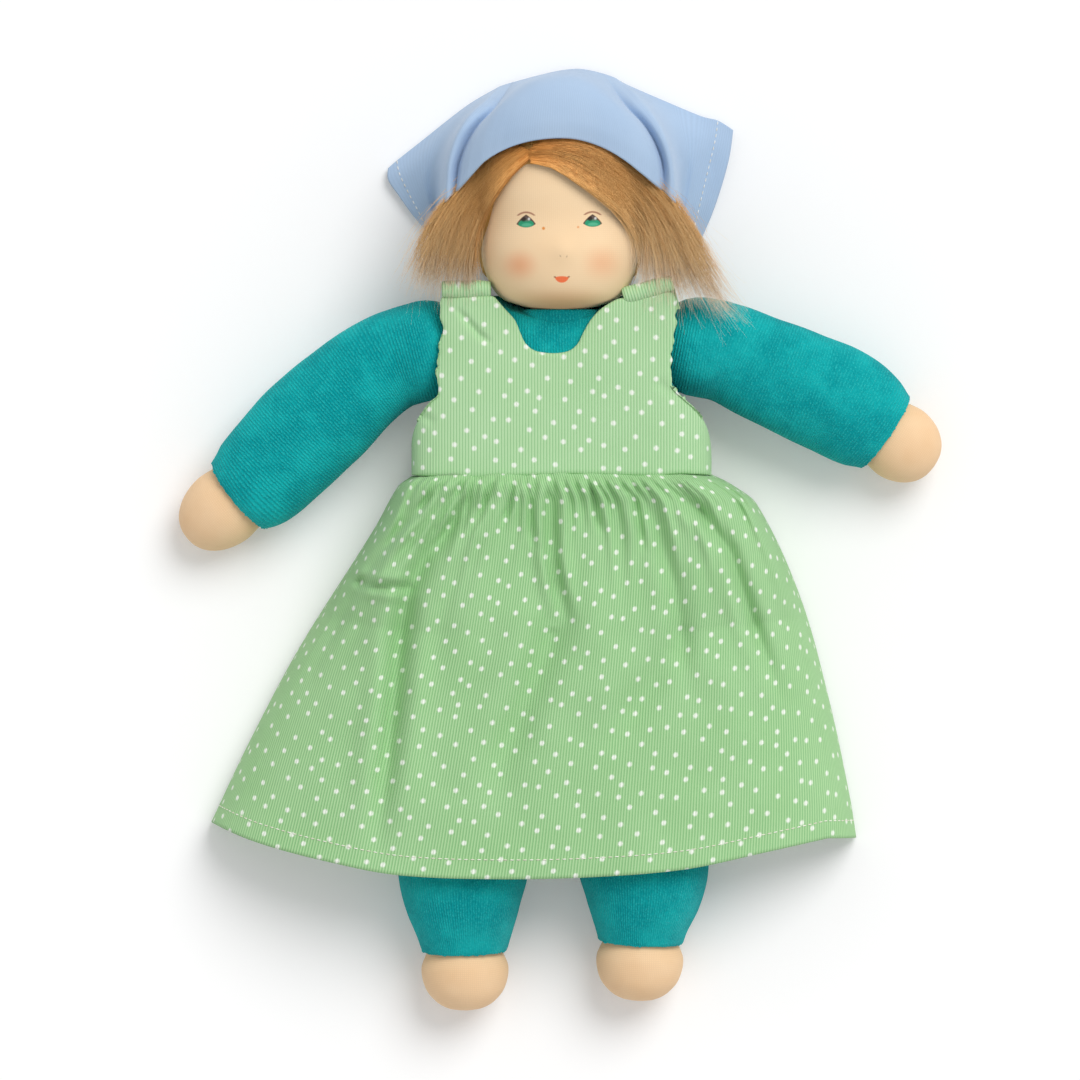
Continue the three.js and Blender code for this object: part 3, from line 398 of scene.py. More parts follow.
def even_line(points, count):
    """A smooth line through points, read at even steps: its points, its directions and its length."""
    knots = np.asarray(points, float)
    knots = np.vstack([2 * knots[0] - knots[1], knots, 2 * knots[-1] - knots[-2]])
    fine = []
    for p in range(len(knots) - 3):
        four = knots[p:p + 4]
        spans = np.linalg.norm(np.diff(four, axis=0), axis=1)
        t = np.concatenate([[0], np.cumsum(np.maximum(spans, 1e-4) ** 0.5)])

        def between(a, b, k, m):
            return a * (t[m] - at) / (t[m] - t[k]) + b * (at - t[k]) / (t[m] - t[k])

        for at in np.linspace(t[1], t[2], 60, endpoint=p == len(knots) - 4):
            a = [between(four[k], four[k + 1], k, k + 1) for k in range(3)]
            b = [between(a[k], a[k + 1], k, k + 2) for k in range(2)]
            fine.append(between(b[0], b[1], 1, 2))
    fine = np.array(fine)
    run = ruler(fine)
    line = np.stack([np.interp(np.linspace(0, run[-1], count), run, fine[:, k]) for k in range(3)], 1)
    ways = np.gradient(line, axis=0)
    return line, ways / np.linalg.norm(ways, axis=1)[:, None], run[-1]


def limb_rings(path, places, half_widths, half_depths, power, count):
    """Rings round a middle line at some places along it, also past its ends."""
    line, ways, length = path
    share = np.clip(places / length, 0, 1) * (len(line) - 1)
    at = np.minimum(share.astype(int), len(line) - 2)
    part = (share - at)[:, None]
    centres = line[at] * (1 - part) + line[at + 1] * part
    along = ways[at] * (1 - part) + ways[at + 1] * part
    along /= np.linalg.norm(along, axis=1)[:, None]
    centres += along * (np.minimum(places, 0) + np.maximum(places - length, 0))[:, None]
    across = np.cross(UPWARD, along)
    across /= np.linalg.norm(across, axis=1)[:, None]
    return rings_round(centres, across, np.cross(along, across), half_widths, half_depths, power, count)


CUFF_DEPTH = 15
LIP = np.array([[0.45, 0.35], [0.6, 0.8], [0.35, 1.3], [-0.3, 1.5], [-2, 1.5], [-6, 1.6], [-CUFF_DEPTH, 1.8]])


def cuffed_tube(name, knots, root, table, half_width, half_depth, power, count, lumpy_from, seed, wale_along):
    """A stuffed tube of velour with an open cuff, in one skin: its outside, a rolled lip and the cuff's
    inside. Root rows are [place, half width, half depth], and table rows the same in shares."""
    path = even_line(knots, 300)
    run = path[2]
    rows = np.array(root + [[p * run, w * half_width, d * half_depth] for p, w, d in table])
    root_places = rows[:len(root), 0]
    places = np.concatenate([root_places, np.linspace(root_places[-1], run, 92)[1:]])
    wide, deep = two_ways(rows, places)
    wide, deep = (np.concatenate([half, half[-1] - LIP[:, 1]]) for half in (wide, deep))
    places = np.concatenate([places, run + LIP[:, 0]])
    rings = limb_rings(path, places, wide, deep, power, count)
    flat = rings.reshape(-1, 3)
    lumpy = np.clip(places / lumpy_from, 0, 1) * np.clip((run + 0.1 - places) / 6, 0, 1)
    outward = flat - np.repeat(rings.mean(1), count, axis=0)
    outward /= np.linalg.norm(outward, axis=1)[:, None]
    flat = flat + outward * (lump(flat, 17, 0.7, seed) * np.repeat(lumpy, count))[:, None]
    girth = 2 * np.pi * wide.max()
    maps = [lambda r, i: girth * i / count, lambda r, i: places[r]]
    tube = close_skin(name, flat.reshape(rings.shape), *(maps[::-1] if wale_along else maps), velour)
    return tube, (path, rows[-1][1] - 0.6, rows[-1][2] - 0.6, power)


def stuffed_end(name, path, table, half_width, half_depth, length, count, wale):
    """A stuffed ball of tricot, drawn in at the end of a tube. Its places are shares of its length."""
    inside, past = [table[0][0], -0.3], [0.93, 0.955, 0.975, 0.988, 0.997]
    places = np.array([*inside, *np.linspace(table[1][0], 0.9, 34), *past])
    sizes = two_ways(table, places, half_width, half_depth)
    rings = limb_rings(path, path[2] + places * length, *sizes, 2, count)
    return close_skin(name, rings, lambda r, i: i * wale, lambda r, i: places[r] * length, tricot)


# Cotton tricot: the doll's skin, a fine knit in a warm sand colour, with wales that show as hairlines.
TRICOT_MM = 0.8
tricot, tree = new_material("cotton_skin_tricot")
cloth, place = cloth_and_place(tree)
knit = maths(tree, "MULTIPLY", *(ribbed(tree, cloth, TRICOT_MM, axis, 0.6) for axis in "XY"))
flesh = mixed(tree, clouded(tree, place, 14 * MM, 3.0), "#FBDAB2", "#F0C697")
threads = ranged(tree, knit, to_low=0.94, to_high=1.02, ends="LINEAR")
drawn = put(tree, "ShaderNodeVectorMath", {0: flesh, "Scale": threads}, operation="SCALE")
cover(tree, drawn, 0.85, 0.2, (0.25, 0.5, "#FFE9CF"), knit, 0.35, 0.12)

ARM_ROOT, ARM_WIDE, ARM_DEEP, ARM_DROP = 20, 22, 16.5, 7
HAND_WIDE, HAND_DEEP = 15.6, 13.5
ARM_TABLE = [[0.33, 0.945, 0.95], [0.55, 1, 1], [0.75, 0.995, 0.98], [0.92, 0.92, 0.93], [1, 0.8, 0.85]]
HAND_TABLE = [
    [-0.45, 0.8, 0.78], [-0.12, 0.88, 0.86], [0.06, 0.94, 0.9], [0.35, 1, 1], [0.62, 0.9, 0.92],
    [0.83, 0.68, 0.72], [0.95, 0.4, 0.45], [1, 0.06, 0.06],
]
# For each side, the way it goes, the arm's and the hand's length, and the bends as shares of the arm's
# length.
ARMS = {
    "left": (-1, 95, 29, [(0.154, -0.048), (0.29, -0.143), (0.459, -0.295), (0.6, -0.434), (0.722, -0.556),
                          (0.781, -0.604)]),
    "right": (1, 82, 25, [(0.122, -0.024), (0.32, -0.112), (0.505, -0.193), (0.646, -0.251),
                          (0.783, -0.332), (0.898, -0.41)]),
}
cuffs = {}
for side, (way, length, hand, bends) in ARMS.items():
    knots = [np.array(SHOULDERS[side])]
    for k, (out, up) in enumerate(bends):
        knots.append(knots[0] + (way * length * out, up * length, -ARM_DROP * ((k + 1) / len(bends)) ** 2))
    root = []
    for turn in np.radians([-86, -76, -64, -52, -40, -28, -16, -5, 8, 20, 38]):
        half = ARM_ROOT * math.cos(turn)
        root.append([ARM_ROOT * math.sin(turn), ARM_ROOT if turn > 0 else half, half])
    sleeve, cuffs["arm_" + side] = cuffed_tube(
        "sleeve_" + side + "_of_suit", knots, root, ARM_TABLE, ARM_WIDE, ARM_DEEP, 2.1, 72, 25, 3.0, True)
    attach(sleeve, "arm_" + side)
    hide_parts("sleeve_" + side, "arm_filling_" + side)
    path = cuffs["arm_" + side][0]
    name = "hand_" + side + "_of_tricot"
    ball = stuffed_end(name, path, HAND_TABLE, HAND_WIDE, HAND_DEEP, hand, 56, 1.7)
    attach(ball, "arm_" + side)
    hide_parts("hand_" + side)


# Legs and feet
# The legs are stuffed velour tubes, flat where they fold on the hip band, with the cuffs' cut edges left
# open over round feet of skin tricot.
LEG_ROOT, LEG_PIVOT_Y, LEG_POWER = 22, -75.5, 2.2
LEG_WIDE, LEG_DEEP, LEG_DROP, LEG_THIN = 26.5, 21.5, 6, 0.85
FOOT_WIDE, FOOT_DEEP, FOOT = 17.4, 15.5, 25
LEG_TABLE = [
    [0.14, 0.86, 1], [0.38, 0.95, 1], [0.67, 0.975, 0.98], [0.83, 0.845, 0.88], [0.95, 0.7, 0.76],
    [1, 0.65, 0.72],
]
FOOT_TABLE = [
    [-0.5, 0.72, 0.78], [-0.14, 0.82, 0.84], [0.03, 0.86, 0.88], [0.3, 1, 1], [0.62, 0.92, 0.94],
    [0.83, 0.7, 0.74], [0.95, 0.42, 0.46], [1, 0.06, 0.06],
]
LEGS = {
    "left": (-29, 88.3, [(-0.06, -0.3), (-0.117, -0.67), (-0.111, -1)]),
    "right": (25, 84.5, [(0.05, -0.3), (0.095, -0.67), (0.08, -1)]),
}
for side, (pivot_x, length, bends) in LEGS.items():
    knots = [np.array((pivot_x, LEG_PIVOT_Y, BODY_AXIS_Z))]
    for k, (out, down) in enumerate(bends):
        knots.append(knots[0] + (out * length, down * length, -LEG_DROP * ((k + 1) / len(bends)) ** 3))
    root = []
    for turn in np.radians([-82, -70, -58, -45, -32, -20, -10, 0]):
        place = LEG_ROOT * math.sin(turn)
        thin = min(LEG_THIN * (SEAT_Y - LEG_PIVOT_Y + place), LEG_DEEP)
        root.append([place, LEG_ROOT * math.cos(turn), thin])
    leg, cuffs["leg_" + side] = cuffed_tube(
        "leg_" + side + "_of_suit", knots, root, LEG_TABLE, LEG_WIDE, LEG_DEEP, LEG_POWER, 76, 20, 9.0, False)
    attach(leg, "leg_" + side)
    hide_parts("leg_cover_" + side, "leg_filling_" + side)
    path = cuffs["leg_" + side][0]
    foot = stuffed_end("foot_" + side + "_of_tricot", path, FOOT_TABLE, FOOT_WIDE, FOOT_DEEP, FOOT, 60, 1.8)
    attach(foot, "leg_" + side)
    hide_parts("foot_" + side)


# Wool inside: the neck, its string and the wads in the shoulders
# They are carded sheep's wool, rolled and felted by hand; the neck is tied round with linen thread. The
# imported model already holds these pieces, and only their materials are made here.

# Carded sheep's wool: matt cream fibres that lie in all directions, with soft shadows between them.
wool, tree = new_material("carded_sheeps_wool")
fibres = clouded(tree, cloth_and_place(tree)[1], 2 * MM, 6.0, twist=2.0)
cover(tree, mixed(tree, fibres, "#DCD2BC", "#F4EEDF"), 0.95, 0.5, (0.3, 0.5, "#FFFFFF"), fibres, 0.6, 0.4)

# Waxed linen thread: an even two-ply twist with a dull gloss.
linen, tree = new_material("linen_thread")
twisted = {"Vector": cloth_and_place(tree)[1], "Scale": 90.0}
ply = put(tree, "ShaderNodeTexWave", twisted, bands_direction="DIAGONAL")
cover(tree, mixed(tree, ply.outputs["Fac"], "#E6DFCE", "#FBF8F0"), 0.7)
for name in ("neck_stalk", "shoulder_wad_left", "shoulder_wad_right", "neck_string"):
    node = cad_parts[name]
    node.data.materials.clear()
    node.data.materials.append(linen if name == "neck_string" else wool)


# Head
# The skin tricot is pulled over an inner ball of wool, which a thread at the eye line draws in a little.
# The eyes, nostrils and mouth are printed, and the cheeks rubbed with a soft orange blush. A broad warm
# painted shade darkens the chin.
FACE_X, NOSE_Y, NOSE_HIGH, NOSE_WIDE = 0.8, 115, 1.1, 3.0
ring_shares = 0.5 - 0.5 * np.cos(np.linspace(0, np.pi, 90))
rings = head_rings(0, 120, ring_shares)
from_nose = (rings[..., 0] - FACE_X) ** 2 + (rings[..., 1] - NOSE_Y) ** 2
nose = NOSE_HIGH * np.exp(-from_nose / (2 * NOSE_WIDE ** 2))
rings[..., 2] += nose * np.clip((rings[..., 2] - HEAD_Z) / 12, 0, 1)

# Printed face on cotton tricot: soft-edged strokes of textile colour that let the knit show through, and
# one broad stroke of painted shade over the chin. A stroke is what some ovals share, each (x, y, half
# width, half height, turn); where the half width is below 0, what lies outside that oval counts. Then
# come the soft edge's width, the colour and its strength.
EYES = [(-14.15, 125.75, 4.0), (12.35, 126.0, 3.9)]
prints_and_shade = [
    ([(-16.8, 109.4, 9.6, 8.2, 0)], 9.6, "#EE8348", 0.46),
    ([(16.2, 110.2, 10.4, 9.4, 0)], 10.4, "#EE8A52", 0.34),
    # Painted shade: a broad warm darkening over the chin and lower face, where the face turns from the light.
    ([(-0.6, 90, 30, 13, 0)], 26, "#D3935C", 0.7),
]
for x, y, rise in EYES:
    low, high = y + rise - 10.25, y + rise - 4.2
    lid = [(x - 6, low, 11.88, 11.88, 0), (x + 6, low, 11.88, 11.88, 0), (x, y + 4.85, 6.4, 6.4, 0)]
    brow = [(x, high, 5.45, 5.45, 0), (x, high - 0.3, -5.05, 5.05, 0), (x, y + 32.9, 30, 30, 0)]
    prints_and_shade += [
        (brow, 0.5, "#9A5A48", 0.8),
        (lid, 0.4, "#4A3631", 0.95),
        ([(x, y - 0.05, 3.35, 1.95, 0), *lid], 0.5, "#2E9C74", 1.0),
        ([(x + 0.3, y - 0.6, 2.6, 1.2, 0), *lid], 1.0, "#5FBE97", 0.75),
        ([(x + 0.4, y + 2.2, 2.0, 1.6, 0), *lid], 1.2, "#6E625E", 0.7),
        ([(x - 1.0, y + 1.9, 1.3, 1.3, 0), *lid], 0.7, "#2C201F", 0.85),
        ([(x + 1.15, y + 2.0, 0.75, 0.85, -0.3)], 0.6, "#E9E8E4", 0.85),
    ]
prints_and_shade += [
    ([(-7.2, 124.0, 0.85, 0.85, 0)], 0.5, "#E58A30", 0.9),
    ([(6.6, 124.5, 0.7, 0.7, 0)], 0.5, "#E9965A", 0.75),
    ([(-0.5, 112.95, 0.36, 0.85, 0.5)], 0.4, "#8C6E58", 0.65),
    ([(2.1, 112.75, 0.36, 0.85, -0.2)], 0.4, "#8C6E58", 0.65),
    ([(0.1, 105.15, 3.1, 3.0, 0), (0.1, 96.1, 9.05, 9.05, 0)], 0.45, "#FB7443", 0.95),
    ([(-2.65, 104.6, 0.7, 0.5, -0.3)], 0.4, "#9C5030", 0.7),
    ([(2.85, 104.7, 0.7, 0.5, 0.3)], 0.4, "#9C5030", 0.7),
]
face_print_and_shade, tree = new_material("printed_skin_tricot_with_painted_shade")
place = cloth_and_place(tree)[1]
height = put(tree, "ShaderNodeSeparateXYZ", {0: place}).outputs["Z"]
knit = maths(tree, "MULTIPLY", *(ribbed(tree, place, TRICOT_MM * MM, axis, 0.5) for axis in "XY"))
bare = mixed(tree, clouded(tree, place, 18 * MM, 3.0), "#FDE0B8", "#F8D5A9")
face = bare
for ovals, soft, colour, mask in prints_and_shade:
    for x, y, half_width, half_height, turn in ovals:
        wide = abs(half_width)
        spot = put(tree, "ShaderNodeMapping", {
            "Vector": place, "Location": (x * MM, y * MM, 0), "Rotation": (0, 0, turn),
            "Scale": (wide * MM, half_height * MM, 1000)}, vector_type="TEXTURE")
        reach = put(tree, "ShaderNodeVectorMath", {0: spot}, operation="LENGTH").outputs["Value"]
        edges = (1.0, 1.0 - soft / wide) if half_width > 0 else (1.0 - soft / wide, 1.0)
        mask = maths(tree, "MULTIPLY", ranged(tree, reach, *edges), mask)
    face = mixed(tree, mask, face, colour)
facing = ranged(tree, height, (HEAD_Z + 2) * MM, (HEAD_Z + 4) * MM, ends="LINEAR")
threads = ranged(tree, knit, to_low=0.95, to_high=1.02, ends="LINEAR")
skin = {0: mixed(tree, facing, bare, face), "Scale": threads}
drawn = put(tree, "ShaderNodeVectorMath", skin, operation="SCALE")
cover(tree, drawn, 0.85, 0.2, (0.2, 0.5, "#FFE9CF"), knit, 0.3, 0.12)
head = close_skin(
    "head_of_tricot", rings, lambda r, i: i * 1.7, lambda r, i: ring_shares[r] * HEAD_HEIGHT, face_print_and_shade)
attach(head, "head")
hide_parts("head_skin", "head_core", "eye_line_thread")


# Hair
# Mohair: long, fine, wavy goat hair sewn to a cap that covers the head behind the hairline. It is parted
# above the left eye, swept over the forehead and left loose beside the face, where its ends thin out.

# Combed mohair: golden at the roots and paler to the tips, with a soft gloss. The strands stand for many
# hairs each, because mohair of 0.04 mm would not show.
mohair, tree = new_material("combed_mohair")
along = put(tree, "ShaderNodeAttribute", attribute_name="along").outputs["Fac"]
tint = put(tree, "ShaderNodeAttribute", attribute_name="tint").outputs["Fac"]
tone = put(tree, "ShaderNodeValToRGB", {0: along})
ramp = tone.color_ramp
ramp.elements[0].color, ramp.elements[1].color = srgb("#EFA550"), srgb("#FFEFD8")
for position, colour in ((0.2, "#FFC070"), (0.5, "#FFC87E"), (0.8, "#FFD69A")):
    ramp.elements.new(position).color = srgb(colour)
deep = put(tree, "ShaderNodeVectorMath", {0: tone, 1: (0.72, 0.53, 0.34)}, operation="MULTIPLY")
strand_tone = mixed(tree, ranged(tree, tint, 0.1, 0.62, ends="LINEAR"), deep, tone)
shader = cover(tree, strand_tone, 0.5, 0.3, (0.3, 0.5, "#FFE4B8"))
# Light goes on through fine fibres, so a strand's lit side is wider than a solid rod's: its normal leans
# upwards.
strand = put(tree, "ShaderNodeNewGeometry").outputs["Normal"]
leaning = put(tree, "ShaderNodeVectorMath", {0: strand, 1: (0.2, 0.3, 1.5)}, operation="ADD")
soft_side = put(tree, "ShaderNodeVectorMath", {0: leaning}, operation="NORMALIZE")
tree.links.new(soft_side.outputs[0], shader.inputs["Normal"])


def geometry_tree(name, inputs):
    """A geometry node tree with its named inputs and one output: the tree, its entry node and its sockets."""
    made = bpy.data.node_groups.new(name, "GeometryNodeTree")
    sockets = []
    for label, kind in inputs.items():
        sockets.append(made.interface.new_socket(label, in_out="INPUT", socket_type="NodeSocket" + kind))
    made.interface.new_socket("Result", in_out="OUTPUT", socket_type="NodeSocketGeometry")
    return made, put(made, "NodeGroupInput").outputs, sockets


def end_tree(tree, last, material):
    """Ends a geometry tree: what the last node makes, as plain mesh in one material."""
    whole = put(tree, "GeometryNodeRealizeInstances", {0: last})
    covered = put(tree, "GeometryNodeSetMaterial", {"Geometry": whole, "Material": material})
    put(tree, "NodeGroupOutput", {0: covered})


def grow(name, points, edges, node_tree, values, **labels):
    """A piece that a geometry tree grows on lines of points, in millimetres, with a label's value at each."""
    mesh = bpy.data.meshes.new(name)
    mesh.from_pydata((np.asarray(points) * MM).tolist(), edges, [])
    for label, marks in labels.items():
        mesh.attributes.new(label, "FLOAT", "POINT").data.foreach_set("value", marks.astype(np.float32))
    piece = stand(name, mesh)
    grower = piece.modifiers.new("grow", "NODES")
    grower.node_group = node_tree
    for socket, value in values.items():
        grower[socket.identifier] = value
    graph = bpy.context.evaluated_depsgraph_get()
    mesh = bpy.data.meshes.new_from_object(piece.evaluated_get(graph))
    piece.modifiers.remove(grower)
    piece.data = mesh
    mesh.polygons.foreach_set("use_smooth", [True] * len(mesh.polygons))
    return piece


# The strands' tree: each line of points becomes a thin three-sided hair that narrows to its tip.
hair_tree, entry, (_, thick_in, tip_in) = geometry_tree(
    "hairs_from_lines", {"Lines": "Geometry", "Root radius": "Float", "Tip share": "Float"})
along = put(hair_tree, "GeometryNodeInputNamedAttribute", {"Name": "along"}, data_type="FLOAT")
taper = ranged(hair_tree, along, to_low=1.0, to_high=entry["Tip share"], ends="LINEAR")
curves = put(hair_tree, "GeometryNodeMeshToCurve", {"Mesh": entry["Lines"]})
profile = put(hair_tree, "GeometryNodeCurvePrimitiveCircle", {"Resolution": 3, "Radius": 1.0})
hairs = put(hair_tree, "GeometryNodeCurveToMesh", {
    "Curve": curves, "Profile Curve": profile, "Fill Caps": True,
    "Scale": maths(hair_tree, "MULTIPLY", taper, entry["Root radius"])})
end_tree(hair_tree, hairs, mohair)


def hair_piece(name, points, along, tint, root_radius, tip_share):
    """Hairs along rows of points that ride on the head. Tint is each hair's own shade."""
    count, steps = points.shape[:2]
    edges = [(k * steps + s, k * steps + s + 1) for k in range(count) for s in range(steps - 1)]
    sizes = {thick_in: root_radius * MM, tip_in: tip_share}
    marks = {"along": along.ravel(), "tint": tint.repeat(steps)}
    piece = grow(name, points.reshape(-1, 3), edges, hair_tree, sizes, **marks)
    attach(piece, "head")
    return piece


def head_front(x, y, offset):
    """How high the front of the head lies, moved out by offset, and far below the floor beside it."""
    radius = smooth(HEAD_OUTLINE, np.clip((y - CHIN_Y) / HEAD_HEIGHT, 0, 1)) * HEAD_RADIUS + offset
    inside = radius ** 2 - (x - HEAD_X) ** 2
    return np.where((inside > 0) & (y > CHIN_Y), HEAD_Z + np.sqrt(np.maximum(inside, 0)), -1e3)


HAIR_STEPS, GUIDE_POINTS, LONGEST = 9, 120, 1.16


def combed(name, guides, count, clump, seed, spread, frizz, fall, lift, radius, cut):
    """Hairs that follow a fan of guide lines over the head, in clumps that part towards the tips. Guides are
    rows of [x, y]; fall gives the height beside the head at the roots and at the tips."""
    rng = np.random.default_rng(seed)
    fine = []
    for guide in guides:
        guide = np.asarray(guide, float)
        guide = np.vstack([guide, guide[-1] + 0.8 * (guide[-1] - guide[-2])])
        fine.append(even_line(np.column_stack([guide, np.zeros(len(guide))]), GUIDE_POINTS)[0][:, :2])
    fine = np.array(fine)
    clumps = count // clump
    group = rng.integers(0, clumps, count)
    middle = rng.uniform(0, len(guides) - 1, clumps)
    across = np.clip(middle[group] + rng.normal(0, 0.13, count), 0, len(guides) - 1.001)
    tip = rng.uniform(*cut, clumps)[group] * rng.uniform(0.86, 1.0, count)
    t = np.linspace(0, 1, HAIR_STEPS)[None] * tip[:, None]
    at = np.clip(t / LONGEST, 0, 0.999) * (GUIDE_POINTS - 2)
    low, part = at.astype(int), (at % 1)[..., None]
    near = across.astype(int)[:, None]
    mix = (across[:, None] - near)[..., None]
    path = (fine[near, low] * (1 - part) + fine[near, low + 1] * part) * (1 - mix)
    path = path + (fine[near + 1, low] * (1 - part) + fine[near + 1, low + 1] * part) * mix
    spray = rng.normal(0, 1, (clumps, 3))[group] * spread + rng.normal(0, 1, (count, 3)) * spread * 0.35
    path = path + spray[:, None, :2] * (0.15 + t ** 1.5)[..., None]
    curl = rng.uniform(4, 9, clumps)[group] * rng.uniform(0.85, 1.15, count)
    phase = rng.uniform(0, 6.28, clumps)[group] + rng.normal(0, 0.5, count)
    wave = np.sin(t * curl[:, None] + phase[:, None])
    bend = rng.normal(0, 1, (clumps, 2))[group] + rng.normal(0, 0.5, (count, 2))
    path = path + bend[:, None] * (wave * frizz * (0.15 + t))[..., None]
    level = np.clip(t, 0, 1)
    layer = rng.uniform(0, 1, count)[:, None] * lift * (0.5 + 0.5 * np.sin(np.pi * level))
    over = head_front(path[..., 0], path[..., 1], 1.2) + layer
    beside = fall[0] + (fall[1] - fall[0]) * level + layer + spray[:, None, 2] * 0.8 * t
    high = np.maximum(over, beside) + 1.2 * np.exp(-np.abs(over - beside) / 2)
    shade = np.clip(rng.normal(0.5, 0.17, clumps)[group] + rng.normal(0, 0.12, count), 0, 1)
    return hair_piece(name, np.concatenate([path, high[..., None]], 2), t, shade, radius, 0.22)


# The cap: cloth under the hair, in the hair's colour, with streaks where strands lie flat on it.
cap_hair, tree = new_material("mohair_cap")
drawn_out = put(tree, "ShaderNodeMapping", {
    "Vector": cloth_and_place(tree)[1], "Location": (0.0006, -0.172, -0.037), "Scale": (900, 130, 900)})
streaks = clouded(tree, drawn_out, 1.0, 3.0)
cover(tree, mixed(tree, streaks, "#B8782E", "#E9B768"), 0.6, 0.3, relief=streaks, strength=0.8, high=0.4)


def line_near(points, line):
    """Each point's distance, seen from above, to a line of [x, y] rows, and its share of the way along it."""
    line = np.asarray(line, float)
    starts = ruler(line)
    spans = np.diff(starts)
    nearest, share = np.full(len(points), 1e9), np.zeros(len(points))
    for k in np.flatnonzero(spans > 1e-9):
        way = (line[k + 1] - line[k]) / spans[k]
        off = points[:, :2] - line[k]
        t = np.clip(off @ way, 0, spans[k])
        away = np.linalg.norm(off - t[:, None] * way, axis=1)
        better = away < nearest
        nearest[better] = away[better]
        share[better] = (starts[k] + t[better]) / starts[-1]
    return nearest, share


def inside_by(points, outline):
    """How far each point lies inside an outline, seen from above, and below 0 outside it."""
    away, _ = line_near(points, np.vstack([outline, outline[:1]]))
    inside = np.zeros(len(points), bool)
    for (x0, y0), (x1, y1) in zip(outline, np.roll(outline, -1, axis=0)):
        crosses = (y0 > points[:, 1]) != (y1 > points[:, 1])
        inside ^= crosses & (points[:, 0] < (x1 - x0) * (points[:, 1] - y0) / (y1 - y0 + 1e-12) + x0)
    return np.where(inside, away, -away)


# Two lines on the hairline's plane: each one's height on the head and its place before the head's middle.
HAIRLINE_LOW, HAIRLINE_HIGH = (0.073, -0.27), (0.707, 0.88)


def behind_hairline(points):
    """How far points lie behind the slanting plane of the hairline at the back and sides of the head."""
    (low_up, low_front), (high_up, high_front) = HAIRLINE_LOW, HAIRLINE_HIGH
    turn = math.atan2((high_front - low_front) * HEAD_RADIUS, (high_up - low_up) * HEAD_HEIGHT)
    up = points[..., 1] - (CHIN_Y + low_up * HEAD_HEIGHT)
    front = points[..., 2] - (HEAD_Z + low_front * HEAD_RADIUS)
    return up * math.sin(turn) - front * math.cos(turn)


BARE_FACE = np.array([
    (-13.5, 148.5), (-17.6, 145.6), (-20.5, 141.5), (-24.5, 137.5), (-27.5, 133), (-31, 128.5), (-36, 124),
    (-44, 118), (-46, 88), (46, 88), (44, 118), (34, 121.5), (28.2, 126.5), (22.5, 131.5), (16.4, 135.2),
    (9, 138.8), (3.8, 143.8), (-4, 147.6),
])
CAP_RINGS, CAP_AROUND = 110, 140
cap_shares = 0.5 - 0.5 * np.cos(np.linspace(0, np.pi, CAP_RINGS))
skin_rings, out_rings = (head_rings(out, CAP_AROUND, cap_shares).reshape(-1, 3) for out in (0, 1))
hairy = np.clip(behind_hairline(skin_rings) / 3 + 0.5, 0, 1)
forehead = np.clip(-inside_by(skin_rings, BARE_FACE) / 3, 0, 1)
forehead = forehead * (skin_rings[:, 2] > HEAD_Z - 4) * (skin_rings[:, 1] > 116)
grown = np.maximum(hairy * 1.6, forehead * 1.5) * np.clip((skin_rings[:, 1] - 104) / 2, 0, 1) - 0.6
cap_points = (skin_rings + (out_rings - skin_rings) * grown[:, None]).reshape(CAP_RINGS, CAP_AROUND, 3)
cap = close_skin("mohair_cap", cap_points, lambda r, i: i, lambda r, i: r, cap_hair)
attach(cap, "head")
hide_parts("wig_cap")

LEFT_GUIDES = [
    [(-12, 153), (-19, 147), (-25, 139.5), (-30, 131.5), (-33.2, 122), (-34.4, 113), (-34.4, 104),
     (-33, 96)],
    [(-13, 154.5), (-23, 147), (-31, 137), (-37, 125), (-40.5, 114), (-42.5, 104), (-43, 96)],
    [(-17, 156.5), (-29, 148.5), (-39, 137), (-46, 125), (-49.5, 113.5), (-51.5, 104), (-52, 96.5)],
    [(-22, 157), (-35, 148), (-45, 136), (-52.5, 124), (-57.5, 113), (-61.5, 104.5), (-65.5, 98)],
]
RIGHT_GUIDES = [
    [(-12, 150.2), (-3.5, 148.4), (5.6, 143), (15, 136.8), (23.4, 130.4), (29.8, 122.8), (32.6, 114.6),
     (32, 106.6), (29.2, 98.6)],
    [(-12, 151.5), (-3, 150.2), (7, 145), (17, 139), (26, 132.4), (32.4, 124.5), (35.4, 115), (35.4, 107),
     (34, 100)],
    [(-12.5, 154), (0, 154), (12, 149), (22, 142), (31.5, 132.5), (38, 121.5), (41, 110), (41.5, 101),
     (41, 92)],
    [(-11, 156), (3, 156.5), (16, 152), (27, 145), (37, 135), (45, 121.5), (51, 108), (56.5, 97), (62, 89)],
    [(-7, 158.5), (8, 159), (21, 153.5), (32.5, 145.5), (43, 134.5), (52, 121), (60.5, 106), (68.5, 94.5),
     (76, 86)],
]
# Guides, count, hairs in a clump, seed, spread, frizz, fall, lift, root radius and the tips' range of
# lengths.
hair_left = combed("hair_left_lock", LEFT_GUIDES, 3600, 17, 11, 1.6, 1.0, (46, 48), 3.2, 0.095, (0.74, 1.1))
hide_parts("hair_side_left")
hair_fringe = combed(
    "hair_fringe_sweep", RIGHT_GUIDES[:4], 3840, 16, 12, 1.2, 0.5, (47, 47), 3.4, 0.1, (0.7, 1.1))
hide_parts("hair_fringe")
hair_right = combed(
    "hair_right_lock", RIGHT_GUIDES[1:], 3870, 18, 13, 2.2, 1.3, (47, 47), 3.6, 0.095, (0.66, 1.12))
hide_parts("hair_side_right")
combed("hair_left_wisps", LEFT_GUIDES[1:], 560, 3, 14, 3.4, 2.0, (50, 49), 4.4, 0.07, (0.85, 1.14))
combed("hair_right_wisps", RIGHT_GUIDES[2:], 760, 3, 15, 4.2, 2.4, (51, 47), 5.0, 0.07, (0.8, 1.14))

